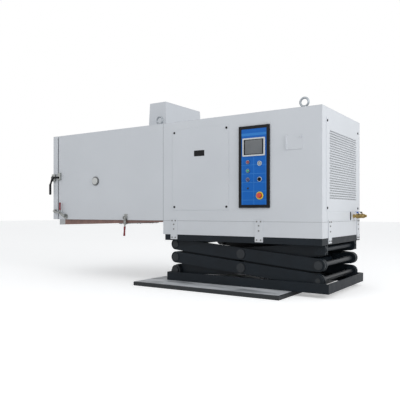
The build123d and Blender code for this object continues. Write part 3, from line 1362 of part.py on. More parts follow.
def floor_clamp_base():
    """A plate with two ears and the pin of the floor clamp's handle."""
    x = FLOOR_CLAMP_X
    half = FLOOR_CLAMP_WIDTH / 2
    y, z = floor_clamp_pivot()
    low = PLINTH_TOP + PART_GAP
    base = slab(x - half, x + half, FRONT - FLOOR_CLAMP_EAR, FRONT, low, low + FLOOR_CLAMP_HEIGHT)
    ear = 2 * CLAMP_PIN_RADIUS
    for side in (-half, half - FLOOR_CLAMP_EAR):
        base += slab(x + side, x + side + FLOOR_CLAMP_EAR, y, FRONT, z - ear, z + ear)
        base += rod_x(y, z, x + side, x + side + FLOOR_CLAMP_EAR, ear)
    return base + rod_x(y, z, x - half, x + half, CLAMP_PIN_RADIUS / 2)


def door_clamp_handle():
    """The red-gripped handle that turns on the clamp's base."""
    pivot = clamp_pivot()
    elbow = clamp_elbow()
    y1 = FRONT - LATCH_DEPTH - PART_GAP
    y0 = y1 - CLAMP_BAR
    handle = bar_xz(pivot, elbow, 2 * CLAMP_BASE_RADIUS / 2, y0, y1)
    handle -= rod_y(*pivot, y0 - 1, y1 + 1, CLAMP_PIN_RADIUS + RUNNING_CLEARANCE)
    top = elbow[1] + CLAMP_GRIP_STEM
    handle += slab(elbow[0] - CLAMP_BAR, elbow[0] + CLAMP_BAR, y0, y1, elbow[1], top)
    handle += rod_z(elbow[0], (y0 + y1) / 2, top - CLAMP_BAR, top + CLAMP_GRIP_LENGTH, CLAMP_GRIP_RADIUS)
    handle += rod_y(*elbow, y0 - 2 * CLAMP_BAR, y0, CLAMP_PIN_RADIUS)
    return [handle]


def door_clamp_hook():
    """The flat hook that lies over the catch on the door's edge."""
    elbow = clamp_elbow()
    y1 = FRONT - LATCH_DEPTH - PART_GAP - CLAMP_BAR - RUNNING_CLEARANCE
    y0 = y1 - CLAMP_BAR
    end = (elbow[0] - CLAMP_HOOK_LENGTH, elbow[1] + CLAMP_HOOK_RISE)
    hook = bar_xz(elbow, end, CLAMP_HOOK_HEIGHT, y0, y1)
    hook += rod_y(*end, y0, FRONT - LATCH_DEPTH - PART_GAP, CLAMP_HOOK_HEIGHT / 2)
    return [hook - rod_y(*elbow, y0 - 1, y1 + 1, CLAMP_PIN_RADIUS + RUNNING_CLEARANCE)]


def floor_clamp_crank():
    """Y and Z of the hook's pin on the floor clamp's handle."""
    y, z = floor_clamp_pivot()
    return y - PART_GAP, z - FLOOR_CLAMP_CRANK


def floor_clamp_handle():
    """The red-gripped handle that hangs below the chamber's front edge."""
    x = FLOOR_CLAMP_X
    y, z = floor_clamp_pivot()
    half = FLOOR_CLAMP_WIDTH / 2 - FLOOR_CLAMP_EAR - PART_GAP
    low = z - FLOOR_CLAMP_HANDLE
    knee = z - FLOOR_CLAMP_CRANK - FLOOR_CLAMP_HOOK - SIDE_CLEARANCE
    thin = CLAMP_BAR / 2
    lower = slab(x - half / 2, x + half / 2, y - thin, y + thin, low + FLOOR_CLAMP_GRIP - CLAMP_BAR, knee)
    lower += rod_z(x, y, low, low + FLOOR_CLAMP_GRIP, CLAMP_GRIP_RADIUS)
    lean = Pos(x, y, knee) * Rot(0, FLOOR_CLAMP_TILT, 0) * Pos(-x, -y, -knee)
    lever = slab(x - half / 2, x + half / 2, y - thin, y + thin, knee - thin, z)
    lever += rod_x(y, z, x - half, x + half, CLAMP_BAR)
    lever += lean * lower
    crank_y, crank_z = floor_clamp_crank()
    lever += rod_x(crank_y, crank_z, x - half, x + half, CLAMP_PIN_RADIUS / 2)
    return [lever - rod_x(y, z, x - half - 1, x + half + 1, CLAMP_PIN_RADIUS / 2 + RUNNING_CLEARANCE)]


def floor_clamp_hook():
    """Two side bars joined by a lip that lies under the floor's catch."""
    x = FLOOR_CLAMP_X
    y, z = floor_clamp_crank()
    half = FLOOR_CLAMP_WIDTH / 2 - FLOOR_CLAMP_EAR - PART_GAP
    bar = CLAMP_BAR
    low = z - FLOOR_CLAMP_HOOK
    lip = y + bar / 2 + SIDE_CLEARANCE
    hook = slab(x - half, x + half, lip, lip + bar, low, low + bar)
    for side in (-half, half - bar):
        hook += slab(x + side, x + side + bar, y - bar / 2, y + bar / 2, low, z)
        hook += slab(x + side, x + side + bar, y - bar / 2, lip, low, low + bar)
        hook += rod_x(y, z, x + side, x + side + bar, bar)
    return [hook - rod_x(y, z, x - half - 1, x + half + 1, CLAMP_PIN_RADIUS / 2 + RUNNING_CLEARANCE)]


def control_point(column, drop):
    """X and Z of a place on the control panel, from its middle line and its top."""
    x0, x1, _, top = control_span()
    return (x0 + x1) / 2 + column, top - drop


def button_place(row):
    """X and Z of a push button in the left column."""
    return control_point(-BUTTON_COLUMN, BUTTON_FIRST + row * BUTTON_PITCH)


def key_place():
    return control_point(BUTTON_COLUMN, BUTTON_FIRST + BUTTON_PITCH * 0.2)


def selector_place():
    return control_point(BUTTON_COLUMN, BUTTON_FIRST + 2 * BUTTON_PITCH)


def estop_place():
    return control_point(BUTTON_COLUMN, ESTOP_DROP)


def control_face():
    """Y of the control panel's blue field."""
    return FRONT - CONTROL_DEPTH


def control_panel():
    """A shallow box with a raised rim, and a round collar under each switch."""
    x0, x1, z0, z1 = control_span()
    face = control_face()
    panel = slab(x0, x1, face - CONTROL_RIM_RISE, FRONT, z0, z1)
    panel -= slab(x0 + CONTROL_RIM, x1 - CONTROL_RIM, face - CONTROL_RIM_RISE - 1, face, z0 + CONTROL_RIM, z1 - CONTROL_RIM)
    switches = [button_place(row) for row in range(3)] + [key_place(), selector_place()]
    for x, z in switches:
        panel += rod_y(x, z, face - BUTTON_COLLAR_RISE, face, BUTTON_COLLAR)
        panel -= rod_y(x, z, face - BUTTON_COLLAR_RISE - 1, FRONT + 1, BUTTON_RADIUS + BUTTON_CLEARANCE)
    x, z = estop_place()
    panel += rod_y(x, z, face - BUTTON_COLLAR_RISE, face, ESTOP_RING)
    panel -= rod_y(x, z, face - BUTTON_COLLAR_RISE - 1, FRONT + 1, ESTOP_STEM + BUTTON_CLEARANCE)
    return [panel]


def touch_screen():
    """The screen's case with a sunk display."""
    x, top = control_point(0, SCREEN_TOP)
    face = control_face()
    half = SCREEN_WIDTH / 2
    case = slab(x - half, x + half, face - SCREEN_DEPTH, face, top - SCREEN_HEIGHT, top)
    case = fillet(case.edges().filter_by(Axis.Y), SCREEN_BEZEL / 2)
    inner = half - SCREEN_BEZEL
    case -= slab(
        x - inner, x + inner, face - SCREEN_DEPTH, face - SCREEN_DEPTH + 2, top - SCREEN_HEIGHT + SCREEN_BEZEL, top - SCREEN_BEZEL
    )
    return [case]


def push_button(row):
    x, z = button_place(row)
    face = control_face()
    cap = rod_y(x, z, face - BUTTON_RISE, face - BUTTON_RISE + BUTTON_STEM, BUTTON_RADIUS)
    return [fillet(cap.edges().group_by(Axis.Y)[0], BUTTON_RADIUS / 6)]


def selector_knob():
    """A round knob with a raised pointer bar."""
    x, z = selector_place()
    face = control_face()
    seat = face - BUTTON_COLLAR_RISE - GASKET_CLEARANCE
    knob = rod_y(x, z, seat - KNOB_RISE / 2, seat, KNOB_RADIUS)
    half = KNOB_BAR / 2
    knob += slab(x - half, x + half, seat - KNOB_RISE, seat, z - KNOB_RADIUS + 1, z + KNOB_RADIUS - 1)
    return [knob + rod_y(x, z, seat, FRONT, BUTTON_RADIUS)]


def key_switch():
    """A lock barrel with the key in it."""
    x, z = key_place()
    face = control_face()
    seat = face - BUTTON_COLLAR_RISE - PART_GAP
    lock = rod_y(x, z, seat, FRONT, BUTTON_RADIUS)
    key = slab(x - 1, x + 1, seat - KNOB_RISE, seat, z - KNOB_BAR, z + KNOB_BAR)
    return [lock + key]


def emergency_stop():
    """A mushroom head on its stem."""
    x, z = estop_place()
    face = control_face()
    front = face - ESTOP_HEAD_RISE
    head = rod_y(x, z, front, front + ESTOP_HEAD_HEIGHT, ESTOP_HEAD)
    head = fillet(head.edges().group_by(Axis.Y)[0], ESTOP_HEAD_HEIGHT / 3)
    return [head + rod_y(x, z, front, FRONT - PART_GAP, ESTOP_STEM)]


def valve_axis(index):
    """Y and Z of a water valve's pipe."""
    return VALVE_POSITIONS[index], PLINTH_TOP + VALVE_ABOVE_PLINTH


def water_valves():
    """Two ball valves on the right side: pipe, hexagon nuts, ball body and stem."""
    solids = []
    for index in range(len(VALVE_POSITIONS)):
        y, z = valve_axis(index)
        x0 = RIGHT_FACE
        body_x = x0 + VALVE_BODY_FROM_WALL
        valve = rod_x(y, z, x0, x0 + VALVE_LENGTH, VALVE_PIPE)
        nut = Pos(y, z) * RegularPolygon(VALVE_NUT, 6)
        valve += plate_yz(nut, x0, x0 + VALVE_NUT_LENGTH)
        valve += plate_yz(nut, body_x + VALVE_BODY, body_x + VALVE_BODY + VALVE_NUT_LENGTH / 2)
        valve += rod_x(y, z, body_x - VALVE_BODY, body_x + VALVE_BODY, VALVE_BODY)
        valve += rod_z(body_x, y, z, z + VALVE_STEM_RISE, VALVE_STEM)
        solids.append(valve)
    return solids


def valve_lever(index):
    """A flat lever with a raised end, on the valve's stem."""
    y, z = valve_axis(index)
    x = RIGHT_FACE + VALVE_BODY_FROM_WALL
    low = z + VALVE_STEM_RISE - VALVE_LEVER_THICKNESS - 2
    half = VALVE_LEVER_WIDTH / 2
    high = low + VALVE_LEVER_BEND
    lever = rod_z(x, y, low, low + VALVE_LEVER_THICKNESS, half)
    lever += slab(x - half, x + half, y - VALVE_LEVER_LENGTH / 3, y, low, low + VALVE_LEVER_THICKNESS)
    bend = y - VALVE_LEVER_LENGTH / 3
    lever += slab(x - half, x + half, bend - VALVE_LEVER_THICKNESS, bend, low, high + VALVE_LEVER_THICKNESS)
    lever += slab(x - half, x + half, y - VALVE_LEVER_LENGTH, bend, high, high + VALVE_LEVER_THICKNESS)
    lever -= rod_z(x, y, low - 1, low + VALVE_LEVER_THICKNESS + 1, VALVE_STEM + RUNNING_CLEARANCE)
    return [lever]


def nodes():
    """Every node's name and the function that makes its solids."""
    return {
        "base_plate": base_plate,
        "plate_lifting_eyes": plate_lifting_eyes,
        "base_frame": base_frame,
        "lower_outer_arms": lower_outer_arms,
        "lower_outer_pins": lower_outer_pins,
        "lower_inner_frame": lower_inner_frame,
        "lower_inner_pins": lower_inner_pins,
        "upper_inner_frame": upper_inner_frame,
        "upper_outer_arms": upper_outer_arms,
        "upper_outer_pins": upper_outer_pins,
        "lower_rollers": lambda: rollers(LOWER_LEFT, LOWER_ROLLER),
        "upper_rollers": lambda: rollers(TOP_LEFT, UPPER_ROLLER),
        "lift_cylinders": lift_cylinders,
        "lift_rods": lift_rods,
        "platform_frame": platform_frame,
        "mounting_brackets": mounting_brackets,
        "plinth": plinth,
        "housing_shell": housing_shell,
        "access_panel": access_panel,
        "vent_panel": vent_panel,
        "panel_screws": panel_screws,
        "condenser": condenser,
        "condenser_fan": condenser_fan,
        "compressor": compressor,
        "blower_cover": blower_cover,
        "circulation_motor": circulation_motor,
        "circulation_fan": circulation_fan,
        "lifting_eyes": lifting_eyes,
        "chamber_shell": chamber_shell,
        "chamber_insulation": chamber_insulation,
        "chamber_liner": chamber_liner,
        "air_baffle": air_baffle,
        "evaporator": evaporator,
        "floor_panel": floor_panel,
        "floor_seal": floor_seal,
        "test_port_ring": test_port_ring,
        "test_port_plug": test_port_plug,
        "door_panel": door_panel,
        "door_gasket": door_gasket,
        "hinge_brackets": hinge_brackets,
        "hinge_arms": hinge_arms,
        "door_latch_body": door_latch_body,
        "door_latch_lever": door_latch_lever,
        "door_hardware": door_hardware,
        "door_clamp_handle": door_clamp_handle,
        "door_clamp_hook": door_clamp_hook,
        "floor_clamp_handle": floor_clamp_handle,
        "floor_clamp_hook": floor_clamp_hook,
        "control_panel": control_panel,
        "touch_screen": touch_screen,
        "red_button": lambda: push_button(0),
        "green_button": lambda: push_button(1),
        "blue_button": lambda: push_button(2),
        "selector_knob": selector_knob,
        "key_switch": key_switch,
        "emergency_stop": emergency_stop,
        "utility_hatch": utility_hatch,
        "water_valves": water_valves,
        "blue_valve_lever": lambda: valve_lever(0),
        "black_valve_lever": lambda: valve_lever(1),
    }


def main():
    os.makedirs("parts", exist_ok=True)
    for name, make in nodes().items():
        export_step(group(make()), f"parts/{name}.step")


if __name__ == "__main__":
    main()
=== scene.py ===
# %% [markdown]
# # A climatic chamber on its lift
#
# The machine is a white sheet-metal cabinet on a black double scissor lift. This lesson dresses the
# imported model: it loads the frame, gives every part a finish worked out from noise and waves, and
# adds the thin pieces that a fitter would add last, such as seams, grips, rings and the grille.

import math

import bmesh
import bpy
import numpy as np
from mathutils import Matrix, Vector


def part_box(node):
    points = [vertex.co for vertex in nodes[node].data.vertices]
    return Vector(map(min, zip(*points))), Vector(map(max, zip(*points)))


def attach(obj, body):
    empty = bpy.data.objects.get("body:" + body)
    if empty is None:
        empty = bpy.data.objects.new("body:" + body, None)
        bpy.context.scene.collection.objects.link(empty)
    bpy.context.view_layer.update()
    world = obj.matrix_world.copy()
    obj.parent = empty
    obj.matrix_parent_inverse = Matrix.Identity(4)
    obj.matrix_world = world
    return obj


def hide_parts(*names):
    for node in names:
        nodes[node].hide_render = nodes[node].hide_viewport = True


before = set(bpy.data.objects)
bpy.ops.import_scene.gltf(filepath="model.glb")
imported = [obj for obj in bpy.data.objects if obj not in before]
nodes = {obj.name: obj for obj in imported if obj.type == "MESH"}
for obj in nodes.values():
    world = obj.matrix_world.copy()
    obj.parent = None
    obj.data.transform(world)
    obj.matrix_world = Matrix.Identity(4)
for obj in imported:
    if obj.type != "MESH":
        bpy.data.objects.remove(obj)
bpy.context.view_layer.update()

# %% [markdown]
# ## Camera
#
# The photograph was taken by someone standing in front of the right-hand corner, with the camera
# held level at chest height. A level camera keeps all upright edges upright, so the picture is
# moved up or down with the lens shift and not by tilting.

# %% Set the camera
EYE_POINT = Vector((2.062, -4.105, 0.650))
LOOK_ALONG = Vector((-0.553, 0.833, 0.0))
FOCAL_PIXELS = 505.0
PICTURE_PIXELS = 400.0
SENSOR = 36.0
HORIZON_SHIFT = 0.03

lens = bpy.data.cameras.new("camera")
lens.sensor_width = SENSOR
lens.lens = FOCAL_PIXELS / PICTURE_PIXELS * SENSOR
lens.shift_y = HORIZON_SHIFT
camera = bpy.data.objects.new("camera", lens)
camera.location = EYE_POINT
camera.rotation_euler = LOOK_ALONG.to_track_quat("-Z", "Y").to_euler()
bpy.context.scene.collection.objects.link(camera)
bpy.context.scene.camera = camera
bpy.context.scene.view_settings.view_transform = "Standard"
print("lens", round(lens.lens, 2), "mm")

# %% [markdown]
# ## Surfaces from numbers
#
# Every added piece is a grid of points: one parameter runs along a profile, the other round it.
# The faces then follow from the grid's rows and columns. A helper turns such a grid into a mesh,
# so each later cell only has to say what its profile is.

# %% Turn a grid of points into a piece
def grid_piece(name, points, round_u=False, round_v=False):
    """A mesh from points[u, v]. Each face joins a point to its next ones along u and v."""
    rows, columns = points.shape[:2]
    index = np.arange(rows * columns).reshape(rows, columns)
    below = np.roll(index, -1, axis=0)
    beside = np.roll(index, -1, axis=1)
    corner = np.roll(below, -1, axis=1)
    faces = np.stack([index, beside, corner, below], axis=-1)
    faces = faces[: rows if round_u else rows - 1, : columns if round_v else columns - 1]
    return mesh_piece(name, points.reshape(-1, 3), faces.reshape(-1, 4))


def mesh_piece(name, points, faces, closed=True):
    """A mesh from plain points and faces, doubled points joined, a closed one turned outwards."""
    mesh = bpy.data.meshes.new(name)
    mesh.from_pydata(points.tolist(), [], faces.tolist())
    tidy = bmesh.new()
    tidy.from_mesh(mesh)
    bmesh.ops.remove_doubles(tidy, verts=tidy.verts, dist=1e-6)
    bmesh.ops.dissolve_degenerate(tidy, edges=tidy.edges, dist=1e-7)
    if closed:
        bmesh.ops.recalc_face_normals(tidy, faces=tidy.faces)
    tidy.to_mesh(mesh)
    tidy.free()
    mesh.validate()
    piece = bpy.data.objects.new(name, mesh)
    bpy.context.scene.collection.objects.link(piece)
    return piece


def axes_of(normal, up):
    """Two directions across a normal: the first to the side, the second along up."""
    normal = np.array(normal, float) / np.linalg.norm(normal)
    side = np.cross(np.array(up, float), normal)
    side /= np.linalg.norm(side)
    return side, np.cross(normal, side), normal


def turned(name, radii, heights, place, axis, steps=40):
    """A turned piece: each radius of the profile swept round an axis at its height."""
    helper = (0, 0, 1) if abs(axis[2]) < 0.9 else (1, 0, 0)
    side, up, axis = axes_of(axis, helper)
    angle = np.linspace(0, 2 * np.pi, steps, endpoint=False)
    circle = np.cos(angle)[:, None] * side + np.sin(angle)[:, None] * up
    radii = np.array(radii, float)
    heights = np.array(heights, float)
    points = np.array(place, float) + heights[:, None, None] * axis + radii[:, None, None] * circle
    return grid_piece(name, points, round_v=True)


def rounded_outline(width, height, radius, inset, steps):
    """A rectangle with round corners, drawn inset by a distance: four corner centres plus arcs."""
    radius = max(radius, inset + 1e-5)
    angle = np.linspace(0, 2 * np.pi, 4 * steps, endpoint=False) + np.pi / (4 * steps)
    corner_x = np.sign(np.cos(angle)) * (width / 2 - radius)
    corner_y = np.sign(np.sin(angle)) * (height / 2 - radius)
    reach = radius - inset
    return corner_x + reach * np.cos(angle), corner_y + reach * np.sin(angle)


def pressed_plate(
    name, size, place, normal, up=(0, 0, 1), rise=0.002, radius=0.004, edge=0.001, steps=6
):
    """A thin plate with a soft edge: a profile of insets and heights carried round the outline."""
    side, up, normal = axes_of(normal, up)
    arc = np.linspace(0, np.pi / 2, 5)
    insets = np.concatenate([[0.0], edge * (1 - np.cos(arc)), [min(size) / 2 - 1e-5]])
    heights = np.concatenate([[0.0], rise - edge + edge * np.sin(arc), [rise]])
    rings = []
    for inset, height in zip(insets, heights):
        x, y = rounded_outline(size[0], size[1], radius, min(inset, min(size) / 2 - 1e-5), steps)
        if inset == insets[-1]:
            x, y = x * 0, y * 0
        rings.append(np.array(place, float) + x[:, None] * side + y[:, None] * up + height * normal)
    return grid_piece(name, np.array(rings), round_v=True)


print("helpers ready")

# %% [markdown]
# ## Finishes
#
# A finish is a small network of nodes on Object coordinates, so it stays put when the part moves.
# Most of the look comes from two things: a slight change of colour from place to place, which
# keeps a large panel from looking like plastic, and a fine bump that breaks up the highlights.

# %% A general finish with variation and grain
ROUGH_SPREAD = 0.06


def new_finish(name):
    """An empty material with its shader and the Object coordinates."""
    finish = bpy.data.materials.new(name)
    finish.use_nodes = True
    tree = finish.node_tree
    tree.nodes.clear()
    output = tree.nodes.new("ShaderNodeOutputMaterial")
    shader = tree.nodes.new("ShaderNodeBsdfPrincipled")
    tree.links.new(shader.outputs["BSDF"], output.inputs["Surface"])
    place = tree.nodes.new("ShaderNodeTexCoord")
    return finish, tree, shader, place.outputs["Object"]


def noise(tree, place, scale, detail=4.0, rough=0.55):
    """Cloudy noise read at the part's own coordinates."""
    node = tree.nodes.new("ShaderNodeTexNoise")
    node.inputs["Scale"].default_value = scale
    node.inputs["Detail"].default_value = detail
    node.inputs["Roughness"].default_value = rough
    tree.links.new(place, node.inputs["Vector"])
    return node.outputs["Fac"]


def ramp(tree, value, low, high, dark, light):
    """A colour ramp between two positions."""
    node = tree.nodes.new("ShaderNodeValToRGB")
    node.color_ramp.elements[0].position = low
    node.color_ramp.elements[1].position = high
    node.color_ramp.elements[0].color = (*dark, 1)
    node.color_ramp.elements[1].color = (*light, 1)
    tree.links.new(value, node.inputs["Fac"])
    return node.outputs["Color"]


def blend_colours(tree, share, first, second):
    """One colour over another, by a share between 0 and 1."""
    node = tree.nodes.new("ShaderNodeMix")
    node.data_type = "RGBA"
    tree.links.new(share, node.inputs["Factor"])
    for socket, colour in (("A", first), ("B", second)):
        target = [s for s in node.inputs if s.name == socket and s.type == "RGBA"][0]
        if isinstance(colour, tuple):
            target.default_value = (*colour, 1)
        else:
            tree.links.new(colour, target)
    return [s for s in node.outputs if s.type == "RGBA"][0]


def spread(tree, value, low, high):
    """A number between 0 and 1 moved to a range."""
    node = tree.nodes.new("ShaderNodeMapRange")
    node.inputs["To Min"].default_value = low
    node.inputs["To Max"].default_value = high
    tree.links.new(value, node.inputs["Value"])
    return node.outputs["Result"]


def bump(tree, shader, value, depth, soften=0.0):
    """A bump of a depth in metres. A softening radius rounds sharp corners for the light."""
    node = tree.nodes.new("ShaderNodeBump")
    node.inputs["Distance"].default_value = depth
    node.inputs["Strength"].default_value = 1.0
    tree.links.new(value, node.inputs["Height"])
    if soften:
        round_corner = tree.nodes.new("ShaderNodeBevel")
        round_corner.samples = 4
        round_corner.inputs["Radius"].default_value = soften
        tree.links.new(round_corner.outputs["Normal"], node.inputs["Normal"])
    tree.links.new(node.outputs["Normal"], shader.inputs["Normal"])


def plain_finish(
    name,
    colour,
    rough=0.5,
    metal=0.0,
    patch=6.0,
    change=0.12,
    grain=900.0,
    depth=0.00004,
    soften=0.0,
    shine=0.5,
):
    """Colour with cloudy patches and a fine grain: paint, plastic, rubber or bare metal."""
    finish, tree, shader, place = new_finish(name)
    dark = tuple(c * (1 - change) for c in colour)
    light = tuple(min(1.0, c * (1 + change)) for c in colour)
    patches = ramp(tree, noise(tree, place, patch), 0.3, 0.7, dark, light)
    tree.links.new(patches, shader.inputs["Base Color"])
    dull = spread(tree, noise(tree, place, patch * 4), rough - ROUGH_SPREAD, rough + ROUGH_SPREAD)
    tree.links.new(dull, shader.inputs["Roughness"])
    shader.inputs["Metallic"].default_value = metal
    shader.inputs["Specular IOR Level"].default_value = shine
    bump(tree, shader, noise(tree, place, grain, 2.0), depth, soften)
    return finish


# %% [markdown]
# ## White powder coat
#
# The cabinet is sheet steel with a pale grey-white powder coat. Close up it has the faint orange
# peel of melted powder, and large panels are never quite flat, so they catch the light in slow
# waves; these waves are painted into the colour as light and shade. The lowest part is made a
# little greyer in speckles. The corners are folded, not cut, so the finish rounds them by a few
# millimetres for the light.

# %% Make the powder coat
# COAT and COAT_SHADE are a lit and a shaded copy of the coat: painted light and shade.
COAT = (0.640, 0.665, 0.700)
COAT_SHADE = (0.600, 0.625, 0.660)
# A greyer colour mixed in speckles towards the foot.
FOOT_GREY = (0.50, 0.50, 0.49)


def powder_coat(name, grey_start_height=0.45, fold=0.003):
    """Powder coat: painted shade in slow waves, greyer specks at the foot, orange peel, rounded folds."""
    finish, tree, shader, place = new_finish(name)
    # Slow waves of painted light and shade between COAT_SHADE and COAT.
    coat = ramp(tree, noise(tree, place, 1.3, 2.0), 0.3, 0.7, COAT_SHADE, COAT)
    # Towards the foot the colour turns greyer in speckles.
    height = tree.nodes.new("ShaderNodeSeparateXYZ")
    tree.links.new(place, height.inputs["Vector"])
    fall = tree.nodes.new("ShaderNodeMapRange")
    fall.inputs["From Min"].default_value = grey_start_height
    fall.inputs["From Max"].default_value = grey_start_height + 0.35
    fall.inputs["To Min"].default_value = 0.22
    fall.inputs["To Max"].default_value = 0.0
    tree.links.new(height.outputs["Z"], fall.inputs["Value"])
    speck = tree.nodes.new("ShaderNodeMath")
    speck.operation = "MULTIPLY"
    tree.links.new(fall.outputs["Result"], speck.inputs[0])
    tree.links.new(noise(tree, place, 14.0, 6.0), speck.inputs[1])
    tree.links.new(blend_colours(tree, speck.outputs[0], coat, FOOT_GREY), shader.inputs["Base Color"])
    tree.links.new(spread(tree, noise(tree, place, 30.0), 0.38, 0.5), shader.inputs["Roughness"])
    peel = tree.nodes.new("ShaderNodeMath")
    peel.operation = "ADD"
    tree.links.new(noise(tree, place, 420.0, 2.0), peel.inputs[0])
    tree.links.new(spread(tree, noise(tree, place, 2.2, 1.0), 0.0, 14.0), peel.inputs[1])
    bump(tree, shader, peel.outputs[0], 0.00005, fold)
    return finish


cabinet_coat = powder_coat("cabinet_powder_coat")
bracket_coat = powder_coat("bracket_powder_coat", fold=0.001)
print("powder coat", COAT)

# %% [markdown]
# ## Black lift paint, plate with painted reflection and bare steel
#
# The lift is painted black with a blue cast. Its colour is made paler on the faces that look up.
# The base plate keeps dark edges, while its top is painted grey with pale bands along its front:
# painted reflection of the bright hall. Pins and rods are bare or plated steel.

# %% Make the lift's finishes
LIFT_BLACK = (0.0055, 0.0090, 0.0130)
# The paler colour for faces that look up.
LIFT_UPWARD_PALE = (0.018, 0.025, 0.033)
PLATE_EDGE = (0.012, 0.015, 0.018)
# The grey top and the pale bands are painted reflection of the bright hall; the edges keep the dark paint.
PLATE_TOP_PAINTED_REFLECTION = (0.090, 0.100, 0.112)
PLATE_BAND_PAINTED_REFLECTION = (0.60, 0.62, 0.65)


def lift_paint(name, upward_pale_share=0.8, fold=0.002):
    """Satin black paint, made paler where the surface looks up."""
    finish, tree, shader, place = new_finish(name)
    pale = tuple(1.5 * c for c in LIFT_BLACK)
    paint = ramp(tree, noise(tree, place, 5.0), 0.35, 0.75, LIFT_BLACK, pale)
    # The colour turns paler, in patches, where the surface looks up.
    facing = tree.nodes.new("ShaderNodeNewGeometry")
    parts = tree.nodes.new("ShaderNodeSeparateXYZ")
    tree.links.new(facing.outputs["Normal"], parts.inputs["Vector"])
    upward = tree.nodes.new("ShaderNodeMath")
    upward.operation = "MULTIPLY"
    upward.use_clamp = True
    tree.links.new(parts.outputs["Z"], upward.inputs[0])
    tree.links.new(spread(tree, noise(tree, place, 9.0, 6.0), 0.2, upward_pale_share + 0.2), upward.inputs[1])
    paler_upward = blend_colours(tree, upward.outputs[0], paint, LIFT_UPWARD_PALE)
    tree.links.new(paler_upward, shader.inputs["Base Color"])
    tree.links.new(spread(tree, noise(tree, place, 22.0), 0.34, 0.56), shader.inputs["Roughness"])
    shader.inputs["Specular IOR Level"].default_value = 0.22
    bump(tree, shader, noise(tree, place, 260.0, 3.0), 0.00006, fold)
    return finish


def plate_painted_reflection(name):
    """The base plate: dark edges, and painted reflection on top: grey with pale bands along its front."""
    finish, tree, shader, place = new_finish(name)
    # Pale bands of painted reflection, stretched to run along the front.
    stretch = tree.nodes.new("ShaderNodeMapping")
    stretch.inputs["Scale"].default_value = (0.9, 3.2, 1.0)
    tree.links.new(place, stretch.inputs["Vector"])
    cloud = noise(tree, stretch.outputs["Vector"], 2.6, 8.0, 0.62)
    reflection_bands = ramp(tree, cloud, 0.30, 0.56, PLATE_TOP_PAINTED_REFLECTION, PLATE_BAND_PAINTED_REFLECTION)
    facing = tree.nodes.new("ShaderNodeNewGeometry")
    parts = tree.nodes.new("ShaderNodeSeparateXYZ")
    tree.links.new(facing.outputs["Normal"], parts.inputs["Vector"])
    is_top = tree.nodes.new("ShaderNodeMath")
    is_top.operation = "GREATER_THAN"
    is_top.inputs[1].default_value = 0.9
    tree.links.new(parts.outputs["Z"], is_top.inputs[0])
    # Faces that look up take the painted reflection, the others stay dark.
    top_painted_reflection = blend_colours(tree, is_top.outputs[0], PLATE_EDGE, reflection_bands)
    tree.links.new(top_painted_reflection, shader.inputs["Base Color"])
    tree.links.new(spread(tree, noise(tree, place, 12.0), 0.38, 0.62), shader.inputs["Roughness"])
    bump(tree, shader, noise(tree, place, 130.0, 4.0), 0.00012, 0.002)
    return finish


lift_black = lift_paint("lift_black_paint")
# The base plate's finish carries painted reflection on its top.
plate_reflection_finish = plate_painted_reflection("base_plate_painted_reflection")
pin_steel = plain_finish(
    "pin_dark_steel", (0.011, 0.0145, 0.0185), 0.44, 0.15, 20.0, 0.3, 300.0, 0.00005
)
eye_steel = plain_finish(
    "lifting_eye_steel", (0.36, 0.39, 0.42), 0.36, 0.75, 25.0, 0.3, 500.0, 0.0001
)
rod_chrome = plain_finish("rod_chrome", (0.55, 0.56, 0.58), 0.12, 1.0, 8.0, 0.05, 60.0, 0.000004)
zinc = plain_finish(
    "zinc_plating", (0.36, 0.37, 0.36), 0.36, 0.85, 40.0, 0.25, 700.0, 0.00004, 0.0008
)
print("lift finishes ready")

# %% [markdown]
# ## Stainless, foam, silicone and small parts
#
# Brushed stainless steel has fine lines in one direction. They are noise that is stretched hard
# along X, used both for the bump and for a little change of roughness. The same idea, as a wave,
# gives the fins of the heat exchangers.

# %% Make the other finishes
def brushed_steel(name, colour=(0.47, 0.48, 0.49), along=(4.0, 260.0, 260.0)):
    """Stainless sheet with brush lines along X."""
    finish, tree, shader, place = new_finish(name)
    stretch = tree.nodes.new("ShaderNodeMapping")
    stretch.inputs["Scale"].default_value = along
    tree.links.new(place, stretch.inputs["Vector"])
    lines = noise(tree, stretch.outputs["Vector"], 1.0, 6.0, 0.7)
    tree.links.new(
        ramp(tree, lines, 0.2, 0.8, tuple(0.86 * c for c in colour), colour), shader.inputs["Base Color"]
    )
    tree.links.new(spread(tree, lines, 0.24, 0.42), shader.inputs["Roughness"])
    shader.inputs["Metallic"].default_value = 0.95
    bump(tree, shader, lines, 0.00003, 0.001)
    return finish


def finned_block(name, colour=(0.42, 0.43, 0.44), fins_per_metre=420.0):
    """Stacked aluminium fins from a wave along Y: painted shade in the gaps, the fins' own colour on their
    edges.
    """
    finish, tree, shader, place = new_finish(name)
    wave = tree.nodes.new("ShaderNodeTexWave")
    wave.bands_direction = "Y"
    wave.inputs["Scale"].default_value = fins_per_metre / 20.0
    wave.inputs["Distortion"].default_value = 0.3
    tree.links.new(place, wave.inputs["Vector"])
    # The dark colour between the fins is painted shade.
    fin_gap_painted_shade = tuple(0.1 * c for c in colour)
    tree.links.new(ramp(tree, wave.outputs["Fac"], 0.2, 0.7, fin_gap_painted_shade, colour), shader.inputs["Base Color"])
    shader.inputs["Metallic"].default_value = 0.8
    shader.inputs["Roughness"].default_value = 0.42
    bump(tree, shader, wave.outputs["Fac"], 0.0008)
    return finish


liner_steel = brushed_steel("liner_stainless")
coil_fins = finned_block("coil_fins")
port_steel = brushed_steel("port_ring_steel", (0.20, 0.205, 0.21))


# %% [markdown]
# The small parts are all plain finishes. The numbers after each colour are the roughness, the share
# of metal, the size of the cloudy patches, how much they change the colour, the grain's fineness and
# depth, the radius that rounds corners for the light, and how much it shines.

